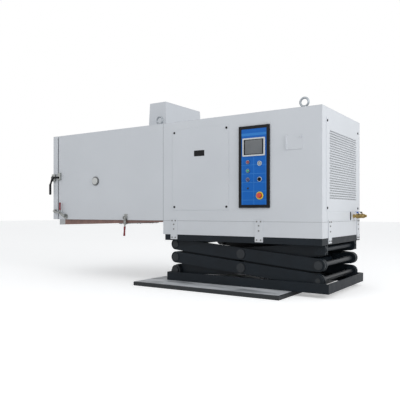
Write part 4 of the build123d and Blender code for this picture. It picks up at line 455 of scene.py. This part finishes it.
# %% Make the finishes of the small parts
foam = plain_finish("insulation_foam", (0.72, 0.66, 0.48), 0.9, 0.0, 30.0, 0.12, 240.0, 0.0006)
silicone = plain_finish(
    "floor_seal_silicone", (0.215, 0.125, 0.105), 0.62, 0.0, 18.0, 0.18, 500.0, 0.00008
)
gasket = plain_finish("door_gasket_rubber", (0.10, 0.10, 0.11), 0.7, 0.0, 30.0, 0.2, 500.0, 0.00008)
plug_plastic = plain_finish(
    "port_plug_silicone", (0.60, 0.61, 0.60), 0.55, 0.0, 20.0, 0.06, 500.0, 0.00004
)
black_plastic = plain_finish(
    "black_plastic", (0.006, 0.006, 0.007), 0.42, 0.0, 30.0, 0.2, 800.0, 0.00004, 0.0008, 0.18
)
screw_black = plain_finish(
    "screw_black_oxide", (0.005, 0.005, 0.006), 0.5, 0.0, 60.0, 0.2, 900.0, 0.00004, 0.0, 0.2
)
motor_paint = plain_finish("motor_paint", (0.10, 0.15, 0.20), 0.45, 0.0, 12.0, 0.15, 300.0, 0.0001)
iron_black = plain_finish(
    "compressor_paint", (0.02, 0.02, 0.022), 0.35, 0.0, 10.0, 0.2, 120.0, 0.0002
)
wheel_metal = plain_finish(
    "fan_wheel_metal", (0.45, 0.46, 0.47), 0.35, 0.9, 15.0, 0.1, 300.0, 0.00004
)
brass = plain_finish(
    "valve_brass", (0.46, 0.32, 0.11), 0.33, 0.9, 40.0, 0.2, 400.0, 0.00006, 0.0008
)
blue_vinyl = plain_finish(
    "blue_vinyl", (0.015, 0.10, 0.42), 0.4, 0.0, 30.0, 0.12, 500.0, 0.00004, 0.0008
)
dark_vinyl = plain_finish(
    "dark_vinyl", (0.02, 0.024, 0.032), 0.42, 0.0, 30.0, 0.12, 500.0, 0.00004, 0.0008, 0.3
)
red_vinyl = plain_finish(
    "red_vinyl_grip", (0.20, 0.020, 0.028), 0.42, 0.0, 40.0, 0.15, 260.0, 0.0001
)
seam_dark = plain_finish("seam_dark", (0.20, 0.21, 0.225), 0.7, 0.0, 20.0, 0.15, 400.0, 0.00003)
print("materials so far", len(bpy.data.materials))

# %% [markdown]
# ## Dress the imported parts
#
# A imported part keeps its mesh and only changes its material. A list of pairs says which part wears
# which finish, so that nothing is left with its plain packing colour.

# %% Put the finishes on the parts
WEARS = (
    (cabinet_coat, ("plinth", "housing_shell", "access_panel")),
    (cabinet_coat, ("blower_cover", "chamber_shell", "door_panel")),
    (bracket_coat, ("mounting_brackets", "utility_hatch", "vent_panel")),
    (lift_black, ("base_frame", "lower_outer_arms", "lower_inner_frame")),
    (lift_black, ("upper_inner_frame", "upper_outer_arms", "platform_frame", "lift_cylinders")),
    (plate_reflection_finish, ("base_plate",)),
    (pin_steel, ("lower_outer_pins", "lower_inner_pins", "upper_outer_pins")),
    (pin_steel, ("lower_rollers", "upper_rollers")),
    (eye_steel, ("plate_lifting_eyes", "lifting_eyes")),
    (rod_chrome, ("lift_rods", "key_switch")),
    (zinc, ("hinge_brackets", "hinge_arms", "door_latch_body", "door_hardware", "door_clamp_handle")),
    (zinc, ("door_clamp_hook", "floor_clamp_handle", "floor_clamp_hook")),
    (liner_steel, ("chamber_liner", "air_baffle", "floor_panel")),
    (port_steel, ("test_port_ring",)),
    (coil_fins, ("condenser", "evaporator")),
    (foam, ("chamber_insulation",)),
    (silicone, ("floor_seal",)),
    (gasket, ("door_gasket",)),
    (plug_plastic, ("test_port_plug",)),
    (black_plastic, ("condenser_fan", "door_latch_lever", "control_panel", "selector_knob")),
        (motor_paint, ("circulation_motor",)),
    (iron_black, ("compressor",)),
    (wheel_metal, ("circulation_fan",)),
    (brass, ("water_valves",)),
    (blue_vinyl, ("blue_valve_lever",)),
    (dark_vinyl, ("black_valve_lever",)),
)


def wear(piece, finish):
    """Every material slot of a piece takes the finish."""
    if not piece.material_slots:
        piece.data.materials.append(finish)
    for entry in piece.material_slots:
        entry.material = finish


for finish, names in WEARS:
    for name in names:
        wear(nodes[name], finish)
print("dressed", sum(len(names) for _, names in WEARS))

# %% [markdown]
# ## Two kinds of screw
#
# The panel screws are blackened and the bracket screws are zinc plated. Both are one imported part, so
# one finish serves both: it reads the height and changes at the top of the brackets.

# %% Colour the screws by their height
BRACKET_TOP = 0.600


def screw_finish(name):
    """Zinc below the height, black oxide above it: a comparison of Object Z mixes the two."""
    finish, tree, shader, place = new_finish(name)
    parts = tree.nodes.new("ShaderNodeSeparateXYZ")
    tree.links.new(place, parts.inputs["Vector"])
    above = tree.nodes.new("ShaderNodeMath")
    above.operation = "GREATER_THAN"
    above.inputs[1].default_value = BRACKET_TOP
    tree.links.new(parts.outputs["Z"], above.inputs[0])
    black = ramp(tree, noise(tree, place, 60.0), 0.3, 0.7, (0.008, 0.008, 0.009), (0.016, 0.016, 0.017))
    plated = ramp(tree, noise(tree, place, 60.0), 0.3, 0.7, (0.13, 0.13, 0.125), (0.22, 0.22, 0.215))
    tree.links.new(blend_colours(tree, above.outputs[0], plated, black), shader.inputs["Base Color"])
    shader.inputs["Roughness"].default_value = 0.42
    shader.inputs["Metallic"].default_value = 0.3
    bump(tree, shader, noise(tree, place, 900.0), 0.00004)
    return finish


wear(nodes["panel_screws"], screw_finish("screw_finish"))
print("screws change finish at", BRACKET_TOP, "m")

# %% [markdown]
# ## Push buttons
#
# The lenses are moulded in clear colours with a bright spot where the light meets them. A slight
# emission in the green one would look lit, but the machine is switched off in the picture, so the
# lenses only get a glossy coat.

# %% Colour the buttons and the emergency stop
def lens_plastic(name, colour):
    """Glossy coloured plastic with a clear coat."""
    finish = plain_finish(name, colour, 0.25, 0.0, 60.0, 0.1, 900.0, 0.00001, 0.0008)
    shader = [n for n in finish.node_tree.nodes if n.type == "BSDF_PRINCIPLED"][0]
    shader.inputs["Coat Weight"].default_value = 0.6
    return finish


wear(nodes["red_button"], lens_plastic("red_lens", (0.26, 0.010, 0.045)))
wear(nodes["green_button"], lens_plastic("green_lens", (0.010, 0.33, 0.20)))
wear(nodes["blue_button"], lens_plastic("blue_lens", (0.020, 0.020, 0.16)))
wear(nodes["emergency_stop"], lens_plastic("stop_red", (0.62, 0.030, 0.014)))
case_white = plain_finish(
    "screen_case_white", (0.62, 0.64, 0.65), 0.4, 0.0, 20.0, 0.04, 800.0, 0.00003, 0.001
)
wear(nodes["touch_screen"], case_white)
print("switches coloured")

# %% [markdown]
# ## Control panel overlay
#
# The panel is a black frame round a blue printed foil. The foil is a thin sheet with soft corners
# that lies on the sunk face. Its print is procedural: a paler blue band at the top, and pale
# hairlines that divide the field below the screen into a grid of bare boxes.

# %% Make the blue foil
FOIL_BLUE = (0.004, 0.120, 0.47)
FOIL_PALE = (0.030, 0.210, 0.60)
FOIL_LINE = (0.07, 0.29, 0.70)
FOIL_THICK = 0.0006
ROW_PITCH = 0.0705
COLUMN_PITCH = 0.106
LINE_HALF_WIDTH = 0.0009
BAND_ABOVE_SCREEN = 0.030
BAND_HALF_HEIGHT = 0.010
CONTROL_RIM = 0.024

control_low, control_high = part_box("control_panel")
control_mid = (control_low + control_high) / 2
control_width = control_high.x - control_low.x
control_height = control_high.z - control_low.z
screen_low, screen_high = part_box("touch_screen")
control_face = screen_high.y


def foil_print(name):
    """Blue with a pale band above the screen and pale lines below it, from the height and the side."""
    finish, tree, shader, place = new_finish(name)
    parts = tree.nodes.new("ShaderNodeSeparateXYZ")
    tree.links.new(place, parts.inputs["Vector"])
    base = ramp(tree, noise(tree, place, 18.0), 0.3, 0.7, FOIL_BLUE, tuple(1.06 * c for c in FOIL_BLUE))
    band = tree.nodes.new("ShaderNodeMath")
    band.operation = "COMPARE"
    band.inputs[1].default_value = screen_high.z + BAND_ABOVE_SCREEN
    band.inputs[2].default_value = BAND_HALF_HEIGHT
    tree.links.new(parts.outputs["Z"], band.inputs[0])
    colour = blend_colours(tree, band.outputs[0], base, FOIL_PALE)
    for axis, middle, pitch in (("Z", screen_low.z, ROW_PITCH), ("X", control_mid.x, COLUMN_PITCH)):
        shifted = tree.nodes.new("ShaderNodeMath")
        shifted.operation = "SUBTRACT"
        shifted.inputs[1].default_value = middle
        tree.links.new(parts.outputs[axis], shifted.inputs[0])
        folded = tree.nodes.new("ShaderNodeMath")
        folded.operation = "PINGPONG"
        folded.inputs[1].default_value = pitch / 2
        tree.links.new(shifted.outputs[0], folded.inputs[0])
        line = tree.nodes.new("ShaderNodeMath")
        line.operation = "LESS_THAN"
        line.inputs[1].default_value = LINE_HALF_WIDTH
        tree.links.new(folded.outputs[0], line.inputs[0])
        below = tree.nodes.new("ShaderNodeMath")
        below.operation = "LESS_THAN"
        below.inputs[1].default_value = screen_low.z
        tree.links.new(parts.outputs["Z"], below.inputs[0])
        both = tree.nodes.new("ShaderNodeMath")
        both.operation = "MULTIPLY"
        tree.links.new(line.outputs[0], both.inputs[0])
        tree.links.new(below.outputs[0], both.inputs[1])
        colour = blend_colours(tree, both.outputs[0], colour, FOIL_LINE)
    tree.links.new(colour, shader.inputs["Base Color"])
    shader.inputs["Roughness"].default_value = 0.36
    shader.inputs["Specular IOR Level"].default_value = 0.2
    bump(tree, shader, noise(tree, place, 700.0, 2.0), 0.00001)
    return finish


foil = pressed_plate(
    "control_foil",
    (control_width - 2 * CONTROL_RIM - 0.001, control_height - 2 * CONTROL_RIM - 0.001),
    (control_mid.x, control_face, control_mid.z),
    (0, -1, 0),
    rise=FOIL_THICK,
    radius=0.003,
    edge=FOIL_THICK / 3,
)
wear(foil, foil_print("control_foil_print"))
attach(foil, "cabinet")
print("foil", round(control_width - 2 * CONTROL_RIM, 3), "m wide")

# %% [markdown]
# ## Touch screen glass
#
# The display sits in a dark inner frame, and the glass over it is switched off and grey. Two thin
# plates do that: a black one that fills the sunk place in the case, and a slightly smaller grey one
# with a glossy coat on top.

# %% Make the glass and its dark frame
SCREEN_BEZEL = 0.011
GLASS_INSET = 0.012
screen_mid = (screen_low + screen_high) / 2
inner_width = screen_high.x - screen_low.x - 2 * SCREEN_BEZEL
inner_height = screen_high.z - screen_low.z - 2 * SCREEN_BEZEL
SCREEN_DEPTH = 0.002
DARK_FRAME_RISE = 0.0008
screen_floor = screen_low.y + SCREEN_DEPTH

dark_frame = pressed_plate(
    "screen_dark_frame",
    (inner_width - 0.0004, inner_height - 0.0004),
    (screen_mid.x, screen_floor, screen_mid.z),
    (0, -1, 0),
    rise=DARK_FRAME_RISE,
    radius=0.002,
    edge=0.0003,
)
wear(dark_frame, black_plastic)
glass = pressed_plate(
    "screen_glass",
    (inner_width - 2 * GLASS_INSET, inner_height - GLASS_INSET),
    (screen_mid.x, screen_floor - DARK_FRAME_RISE, screen_mid.z),
    (0, -1, 0),
    rise=0.0006,
    radius=0.002,
    edge=0.0002,
)
glass_finish = plain_finish(
    "screen_glass_grey", (0.115, 0.125, 0.135), 0.16, 0.0, 8.0, 0.12, 60.0, 0.000001
)
wear(glass, glass_finish)
for piece in (dark_frame, glass):
    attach(piece, "cabinet")
print("screen", round(inner_width, 3), "by", round(inner_height, 3))

# %% [markdown]
# ## Rings round the switches
#
# Each switch has a ring with a rounded lip, turned from metal, and the emergency stop has a yellow
# one. A ring is a surface of revolution: its profile runs up the outside, over a round lip and down
# the inside, and is swept round the switch's own axis.

# %% Make the switch rings
def switch_ring(name, node, radii, lip, finish):
    """A turned ring that stands on the panel round a switch: outer wall, round lip, inner wall."""
    low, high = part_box(node)
    arc = np.linspace(0, np.pi, 9)
    outer, inner = radii
    middle, half = (outer + inner) / 2, (outer - inner) / 2
    profile = np.concatenate([[outer], middle + half * np.cos(arc), [inner]])
    heights = np.concatenate([[0.0], lip + half * 0.5 * np.sin(arc), [0.0]])
    place = ((low.x + high.x) / 2, control_face - 0.0005, (low.z + high.z) / 2)
    ring = turned(name, profile, heights, place, (0, -1, 0), 48)
    wear(ring, finish)
    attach(ring, "cabinet")
    return ring


ring_metal = plain_finish(
    "switch_ring_metal", (0.24, 0.25, 0.27), 0.28, 0.9, 40.0, 0.1, 500.0, 0.00002
)
stop_yellow = plain_finish(
    "stop_ring_yellow", (0.78, 0.55, 0.03), 0.4, 0.0, 40.0, 0.06, 500.0, 0.00003
)
COLLAR_RISE = 0.005
LIP_RISE = COLLAR_RISE + 0.001
BUTTON_RING = (0.0165, 0.0118)
TURN_RING = (0.0195, 0.0148)
STOP_RING = (0.0312, 0.0205)
for switch in ("red_button", "green_button", "blue_button"):
    switch_ring(switch + "_ring", switch, BUTTON_RING, LIP_RISE, ring_metal)
ring_bright = plain_finish(
    "switch_ring_bright", (0.55, 0.60, 0.64), 0.3, 0.6, 40.0, 0.08, 500.0, 0.00002
)
for switch in ("key_switch", "selector_knob"):
    switch_ring(switch + "_ring", switch, TURN_RING, LIP_RISE, ring_bright)
switch_ring("stop_ring", "emergency_stop", STOP_RING, COLLAR_RISE, stop_yellow)
print("rings done")

# %% [markdown]
# ## Sounder
#
# A fourth, much smaller item sits below the blue button. It is made as a sounder, a dark disc with
# a dimple, because the photograph shows no more than a dark spot.

# %% Make the sounder
SOUNDER_RADIUS = 0.008
button_low, button_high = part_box("blue_button")
column_x = (button_low.x + button_high.x) / 2
sounder_z = (button_low.z + button_high.z) / 2 - ROW_PITCH
share = np.linspace(0, 1, 7)
sounder = turned(
    "sounder",
    np.concatenate([[SOUNDER_RADIUS], SOUNDER_RADIUS * (1 - 0.9 * share), [0.0]]),
    np.concatenate([[0.0], 0.002 + 0.0008 * np.sin(share * np.pi), [0.0016]]),
    (column_x, control_face - FOIL_THICK, sounder_z),
    (0, -1, 0),
)
wear(sounder, dark_vinyl)
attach(sounder, "cabinet")
print("sounder at", round(sounder_z, 3), "m")

# %% [markdown]
# ## Perforated grille
#
# The air inlet on the right side is a sheet punched with round holes in staggered rows. The packed
# panel has fewer and larger holes, so a finer sheet replaces it. Each hole sits in its own small
# rectangle: eight points on the hole are joined to eight points on the rectangle. All cells are
# worked out at once as arrays, and odd rows are moved by half a cell.

# %% Make the grille
GRILLE_ROWS = 28
GRILLE_COLUMNS = 34
HOLE_SHARE = 0.36
GRILLE_SIDE_MARGIN = 0.070
GRILLE_FOOT_MARGIN = 0.095
GRILLE_FIELD_HEIGHT = 0.536
SHEET_THICK = 0.002

vent_low, vent_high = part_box("vent_panel")


def grille_cells(y0, y1, z0, z1):
    """Points and faces of all cells: eight quads each, from a hole's circle to its cell's edge."""
    wide = (y1 - y0) / GRILLE_COLUMNS
    tall = (z1 - z0) / GRILLE_ROWS
    row, column = np.meshgrid(np.arange(GRILLE_ROWS), np.arange(GRILLE_COLUMNS), indexing="ij")
    odd = row % 2 == 1
    middle_y = y0 + (column + 0.5 + 0.5 * odd) * wide
    middle_z = z0 + (row + 0.5) * tall
    kept = ~(odd & (column == GRILLE_COLUMNS - 1))
    centre = np.stack([middle_y[kept], middle_z[kept]], axis=-1)
    angle = np.arange(8) * np.pi / 4
    hole = HOLE_SHARE * min(wide, tall) * np.stack([np.cos(angle), np.sin(angle)], axis=-1)
    edge = np.stack([np.round(np.cos(angle)) * wide / 2, np.round(np.sin(angle)) * tall / 2], axis=-1)
    flat = np.concatenate([centre[:, None] + hole, centre[:, None] + edge], axis=1)
    start = 16 * np.arange(len(centre))[:, None]
    near = np.arange(8)
    after = (near + 1) % 8
    faces = np.stack([start + near, start + near + 8, start + after + 8, start + after], axis=-1)
    return flat.reshape(-1, 2), faces.reshape(-1, 4), wide, tall


def flat_rectangles(corners):
    """Points and faces of plain rectangles given as (y0, y1, z0, z1)."""
    corners = np.array(corners, float)
    order = corners[:, [0, 2, 1, 2, 1, 3, 0, 3]].reshape(-1, 2)
    return order, np.arange(len(order)).reshape(-1, 4)


def make_grille():
    """The punched field, half-cell fillers at the ends of odd rows, and a plain border."""
    y0, y1 = vent_low.y + GRILLE_SIDE_MARGIN, vent_high.y - GRILLE_SIDE_MARGIN
    z0 = vent_low.z + GRILLE_FOOT_MARGIN
    z1 = z0 + GRILLE_FIELD_HEIGHT
    cells, cell_faces, wide, tall = grille_cells(y0, y1, z0, z1)
    fill = [
        (y, y + wide / 2, z0 + row * tall, z0 + (row + 1) * tall)
        for row in range(1, GRILLE_ROWS, 2)
        for y in (y0, y1 - wide / 2)
    ]
    border = [
        (vent_low.y, vent_high.y, vent_low.z, z0),
        (vent_low.y, vent_high.y, z1, vent_high.z),
        (vent_low.y, y0, z0, z1),
        (y1, vent_high.y, z0, z1),
    ]
    plain, plain_faces = flat_rectangles(fill + border)
    flat = np.concatenate([cells, plain])
    faces = np.concatenate([cell_faces, plain_faces + len(cells)])
    points = np.column_stack([np.full(len(flat), vent_high.x), flat])
    grille = mesh_piece("vent_grille", points, faces, closed=False)
    thick = grille.modifiers.new("sheet", "SOLIDIFY")
    thick.thickness = SHEET_THICK
    thick.offset = -1.0
    return grille


grille = make_grille()
wear(grille, bracket_coat)
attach(grille, "cabinet")
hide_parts("vent_panel")
print("grille faces", len(grille.data.polygons))

# %% [markdown]
# ## Screw caps
#
# The removable panels are held by large black cap screws. Each gets a domed cap over its packed head:
# a quarter of a flattened circle swept round the screw's axis.

# %% Make the screw caps
CAP_RADIUS = 0.0095
CAP_RISE = 0.0052
SCREW_SIDE = 0.022
SCREW_END = 0.028


def screw_cap(name, place, normal):
    """A dome: the radius falls with the cosine while the height rises with the sine."""
    bend = np.linspace(0, np.pi / 2, 8)
    radii = np.concatenate([[CAP_RADIUS], 0.002 + (CAP_RADIUS - 0.002) * np.cos(bend), [0.0]])
    heights = np.concatenate([[0.0], CAP_RISE - 0.002 + 0.002 * np.sin(bend), [CAP_RISE]])
    cap = turned(name, radii, heights, place, normal, 20)
    wear(cap, screw_black)
    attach(cap, "cabinet")


access_low, access_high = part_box("access_panel")
for i, x in enumerate((access_low.x + SCREW_SIDE, access_high.x - SCREW_SIDE)):
    for j, z in enumerate((access_low.z + SCREW_END, access_high.z - SCREW_END)):
        screw_cap(f"access_cap_{i}{j}", (x, access_low.y, z), (0, -1, 0))
for i, y in enumerate((vent_low.y + SCREW_SIDE, vent_high.y - SCREW_SIDE)):
    for j, z in enumerate((vent_low.z + SCREW_END, vent_high.z - SCREW_END)):
        screw_cap(f"vent_cap_{i}{j}", (vent_high.x, y, z), (1, 0, 0))
print("cap radius", CAP_RADIUS, "m")

# %% [markdown]
# ## Seams
#
# The chamber and the machine compartment are two boxes that meet in a narrow dark joint, and the
# compartment stands on the plinth with a finer one. From a distance a joint is only a thin line, so
# each is a strip a few millimetres wide that stands a hair proud of the panels.

# %% Lay the seam strips
SEAM_PROUD = 0.0004
SEAM_WIDE = 0.003
SEAM_FINE = 0.0018
chamber_low, chamber_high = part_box("chamber_shell")
plinth_low, plinth_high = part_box("plinth")
_, shell_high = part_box("housing_shell")
body_front, body_back = plinth_low.y, plinth_high.y
joint_x = chamber_high.x


def seam(name, size, place, normal, up=(0, 0, 1)):
    """A flat strip on a panel, with almost no thickness."""
    strip = pressed_plate(name, size, place, normal, up, SEAM_PROUD, 0.0005, SEAM_PROUD / 2, 2)
    wear(strip, seam_dark)
    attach(strip, "cabinet")


chamber_tall = chamber_high.z - chamber_low.z
chamber_mid_z = (chamber_high.z + chamber_low.z) / 2
seam("joint_seam_front", (SEAM_WIDE, chamber_tall), (joint_x, body_front, chamber_mid_z), (0, -1, 0))
seam("joint_seam_back", (SEAM_WIDE, chamber_tall), (joint_x, body_back, chamber_mid_z), (0, 1, 0))
roof_size = (SEAM_WIDE, body_back - body_front)
seam("joint_seam_roof", roof_size, (joint_x, 0, chamber_high.z), (0, 0, 1), (0, 1, 0))
plinth_width = plinth_high.x - plinth_low.x
plinth_mid = (plinth_high.x + plinth_low.x) / 2
seam("plinth_seam_front", (plinth_width, SEAM_FINE), (plinth_mid, body_front, plinth_high.z), (0, -1, 0))
seam("plinth_seam_back", (plinth_width, SEAM_FINE), (plinth_mid, body_back, plinth_high.z), (0, 1, 0))
seam("plinth_seam_side", (body_back - body_front, SEAM_FINE), (plinth_high.x, 0, plinth_high.z), (1, 0, 0))
print("seams laid")

# %% [markdown]
# ## Side cover and cable slot
#
# Below the grille there is a shallow cover over the service space, and beside it a dark slot for
# cables. The cover is a pressed plate with soft edges; the slot is a dark rubber lip.

# %% Make the side cover and the slot
COVER_Y = (-0.375, 0.168)
COVER_Z = (0.583, 0.648)
SLOT_Y = 0.210
SLOT_Z = 0.616
SLOT_SIZE = (0.020, 0.072)
side_cover = pressed_plate(
    "side_cover",
    (COVER_Y[1] - COVER_Y[0], COVER_Z[1] - COVER_Z[0]),
    (shell_high.x, sum(COVER_Y) / 2, sum(COVER_Z) / 2),
    (1, 0, 0),
    rise=0.0022,
    radius=0.003,
    edge=0.0012,
)
wear(side_cover, bracket_coat)
cable_slot = pressed_plate(
    "cable_slot",
    SLOT_SIZE,
    (shell_high.x, SLOT_Y, SLOT_Z),
    (1, 0, 0),
    rise=0.004,
    radius=0.009,
    edge=0.002,
)
wear(cable_slot, black_plastic)
for piece, slot in ((side_cover, "white_paint"), (cable_slot, "black_plastic")):
    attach(piece, "cabinet")

# %% [markdown]
# ## Bare plate on the access panel
#
# A small dark plate marks the middle of the access panel. It carries nothing here.

# %% Make the bare plate
PLATE_SIZE = (0.106, 0.050)
PLATE_X = -0.352
PLATE_Z = 1.157
panel_low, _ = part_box("access_panel")
bare_plate = pressed_plate(
    "bare_plate",
    PLATE_SIZE,
    (PLATE_X, panel_low.y, PLATE_Z),
    (0, -1, 0),
    rise=0.0012,
    radius=0.003,
    edge=0.0005,
)
wear(bare_plate, black_plastic)
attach(bare_plate, "cabinet")

# %% [markdown]
# ## Red grips
#
# Both toggle clamps have a red vinyl sleeve, dipped and slightly thicker at its foot. A sleeve is a
# turned surface whose radius follows a smooth curve, with a round end.

# %% Make the grips
BAR_RADIUS = 0.008
GRIP_SKIN = 0.0012
WAIST = 0.0008


def grip_sleeve(name, foot, length, tilt, body):
    """A sleeve over a round bar: a gentle waist, a bead at the foot and a half-round end."""
    share = np.linspace(0, 1, 16)
    radius = BAR_RADIUS + GRIP_SKIN + WAIST * np.cos(share * 2 * np.pi)
    end = np.linspace(0, np.pi / 2, 6)[1:]
    radii = np.concatenate([[BAR_RADIUS], radius, radius[-1] * np.cos(end)])
    heights = np.concatenate([[0.0], share * length, length + 0.4 * GRIP_SKIN * np.sin(end)])
    sleeve = turned(name, radii, heights, foot, tilt, 24)
    wear(sleeve, red_vinyl)
    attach(sleeve, body)
    return sleeve


clamp_low, clamp_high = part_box("door_clamp_handle")
GRIP_LENGTH = 0.078
ELBOW_INSET = 0.013
GRIP_Y = -0.509
grip_foot = (clamp_low.x + ELBOW_INSET, GRIP_Y, clamp_high.z - GRIP_LENGTH)
door_grip = grip_sleeve("door_clamp_grip", grip_foot, GRIP_LENGTH, (0, 0, 1), "door_clamp")
floor_low, floor_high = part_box("floor_clamp_handle")
LEAN = math.radians(4.0)
lean_way = (-math.sin(LEAN), 0, -math.cos(LEAN))
FLOOR_GRIP_LENGTH = 0.090
GRIP_END_LIFT = 0.0006
floor_mid_y = (floor_low.y + floor_high.y) / 2
grip_end = Vector((floor_low.x + BAR_RADIUS, floor_mid_y, floor_low.z + GRIP_END_LIFT))
grip_start = grip_end - Vector(lean_way) * FLOOR_GRIP_LENGTH
floor_grip = grip_sleeve("floor_clamp_grip", grip_start, FLOOR_GRIP_LENGTH, lean_way, "floor_clamp")
print("grips", door_grip.name, floor_grip.name)

# %% [markdown]
# ## Light and floor
#
# The picture is lit by a bright, even hall with more light from the right. A pale world gives the
# even part, and one large lamp from the right makes the side a little brighter than the front. The
# camera and mirrors see a plain white world, which adds no light of its own.

# %% Light the scene
WORLD_LEVEL = 0.60


def pale_world():
    """White for the camera and for reflections, a measured level for everything else."""
    world = bpy.data.worlds.new("pale_world")
    bpy.context.scene.world = world
    world.use_nodes = True
    tree = world.node_tree
    tree.nodes.clear()
    output = tree.nodes.new("ShaderNodeOutputWorld")
    seen = tree.nodes.new("ShaderNodeBackground")
    seen.inputs["Color"].default_value = (1, 1, 1, 1)
    seen.inputs["Strength"].default_value = 1.0
    lighting = tree.nodes.new("ShaderNodeBackground")
    lighting.inputs["Color"].default_value = (0.96, 0.98, 1.0, 1)
    lighting.inputs["Strength"].default_value = WORLD_LEVEL
    path = tree.nodes.new("ShaderNodeLightPath")
    share = path.outputs["Is Camera Ray"]
    for kind in ("Is Glossy Ray", "Is Transmission Ray"):
        either = tree.nodes.new("ShaderNodeMath")
        either.operation = "MAXIMUM"
        tree.links.new(share, either.inputs[0])
        tree.links.new(path.outputs[kind], either.inputs[1])
        share = either.outputs[0]
    mix = tree.nodes.new("ShaderNodeMixShader")
    tree.links.new(share, mix.inputs["Fac"])
    tree.links.new(lighting.outputs[0], mix.inputs[1])
    tree.links.new(seen.outputs[0], mix.inputs[2])
    tree.links.new(mix.outputs[0], output.inputs["Surface"])


def area_lamp(name, place, aim, size, watts):
    """A large soft lamp that looks at a point."""
    lamp = bpy.data.lights.new(name, "AREA")
    lamp.size = size
    lamp.energy = watts
    holder = bpy.data.objects.new(name, lamp)
    holder.location = place
    holder.rotation_euler = (Vector(aim) - Vector(place)).to_track_quat("-Z", "Y").to_euler()
    bpy.context.scene.collection.objects.link(holder)


pale_world()
area_lamp("side_lamp", (5.5, -1.5, 3.2), (0.2, 0.0, 0.8), 3.0, 150)
area_lamp("front_lamp", (-1.5, -5.5, 3.6), (-0.6, 0.0, 0.7), 3.5, 45)

FLOOR_HALF = 30.0
FLOOR_GLOW = 0.34
corners = np.array([(-1, -1, 0), (1, -1, 0), (1, 1, 0), (-1, 1, 0)]) * FLOOR_HALF
floor = mesh_piece("floor", corners, np.array([[0, 1, 2, 3]]), closed=False)


def white_floor(name):
    """A pale matt floor that looks white to the camera: a little emission for camera rays only."""
    finish = plain_finish(name, (0.88, 0.88, 0.88), 0.9, 0.0, 0.5, 0.01, 8.0, 0.0001)
    tree = finish.node_tree
    shader = [n for n in tree.nodes if n.type == "BSDF_PRINCIPLED"][0]
    shader.inputs["Emission Color"].default_value = (1, 1, 1, 1)
    path = tree.nodes.new("ShaderNodeLightPath")
    glow = spread(tree, path.outputs["Is Camera Ray"], 0.0, FLOOR_GLOW)
    tree.links.new(glow, shader.inputs["Emission Strength"])
    return finish


wear(floor, white_floor("pale_floor"))
print("lit")
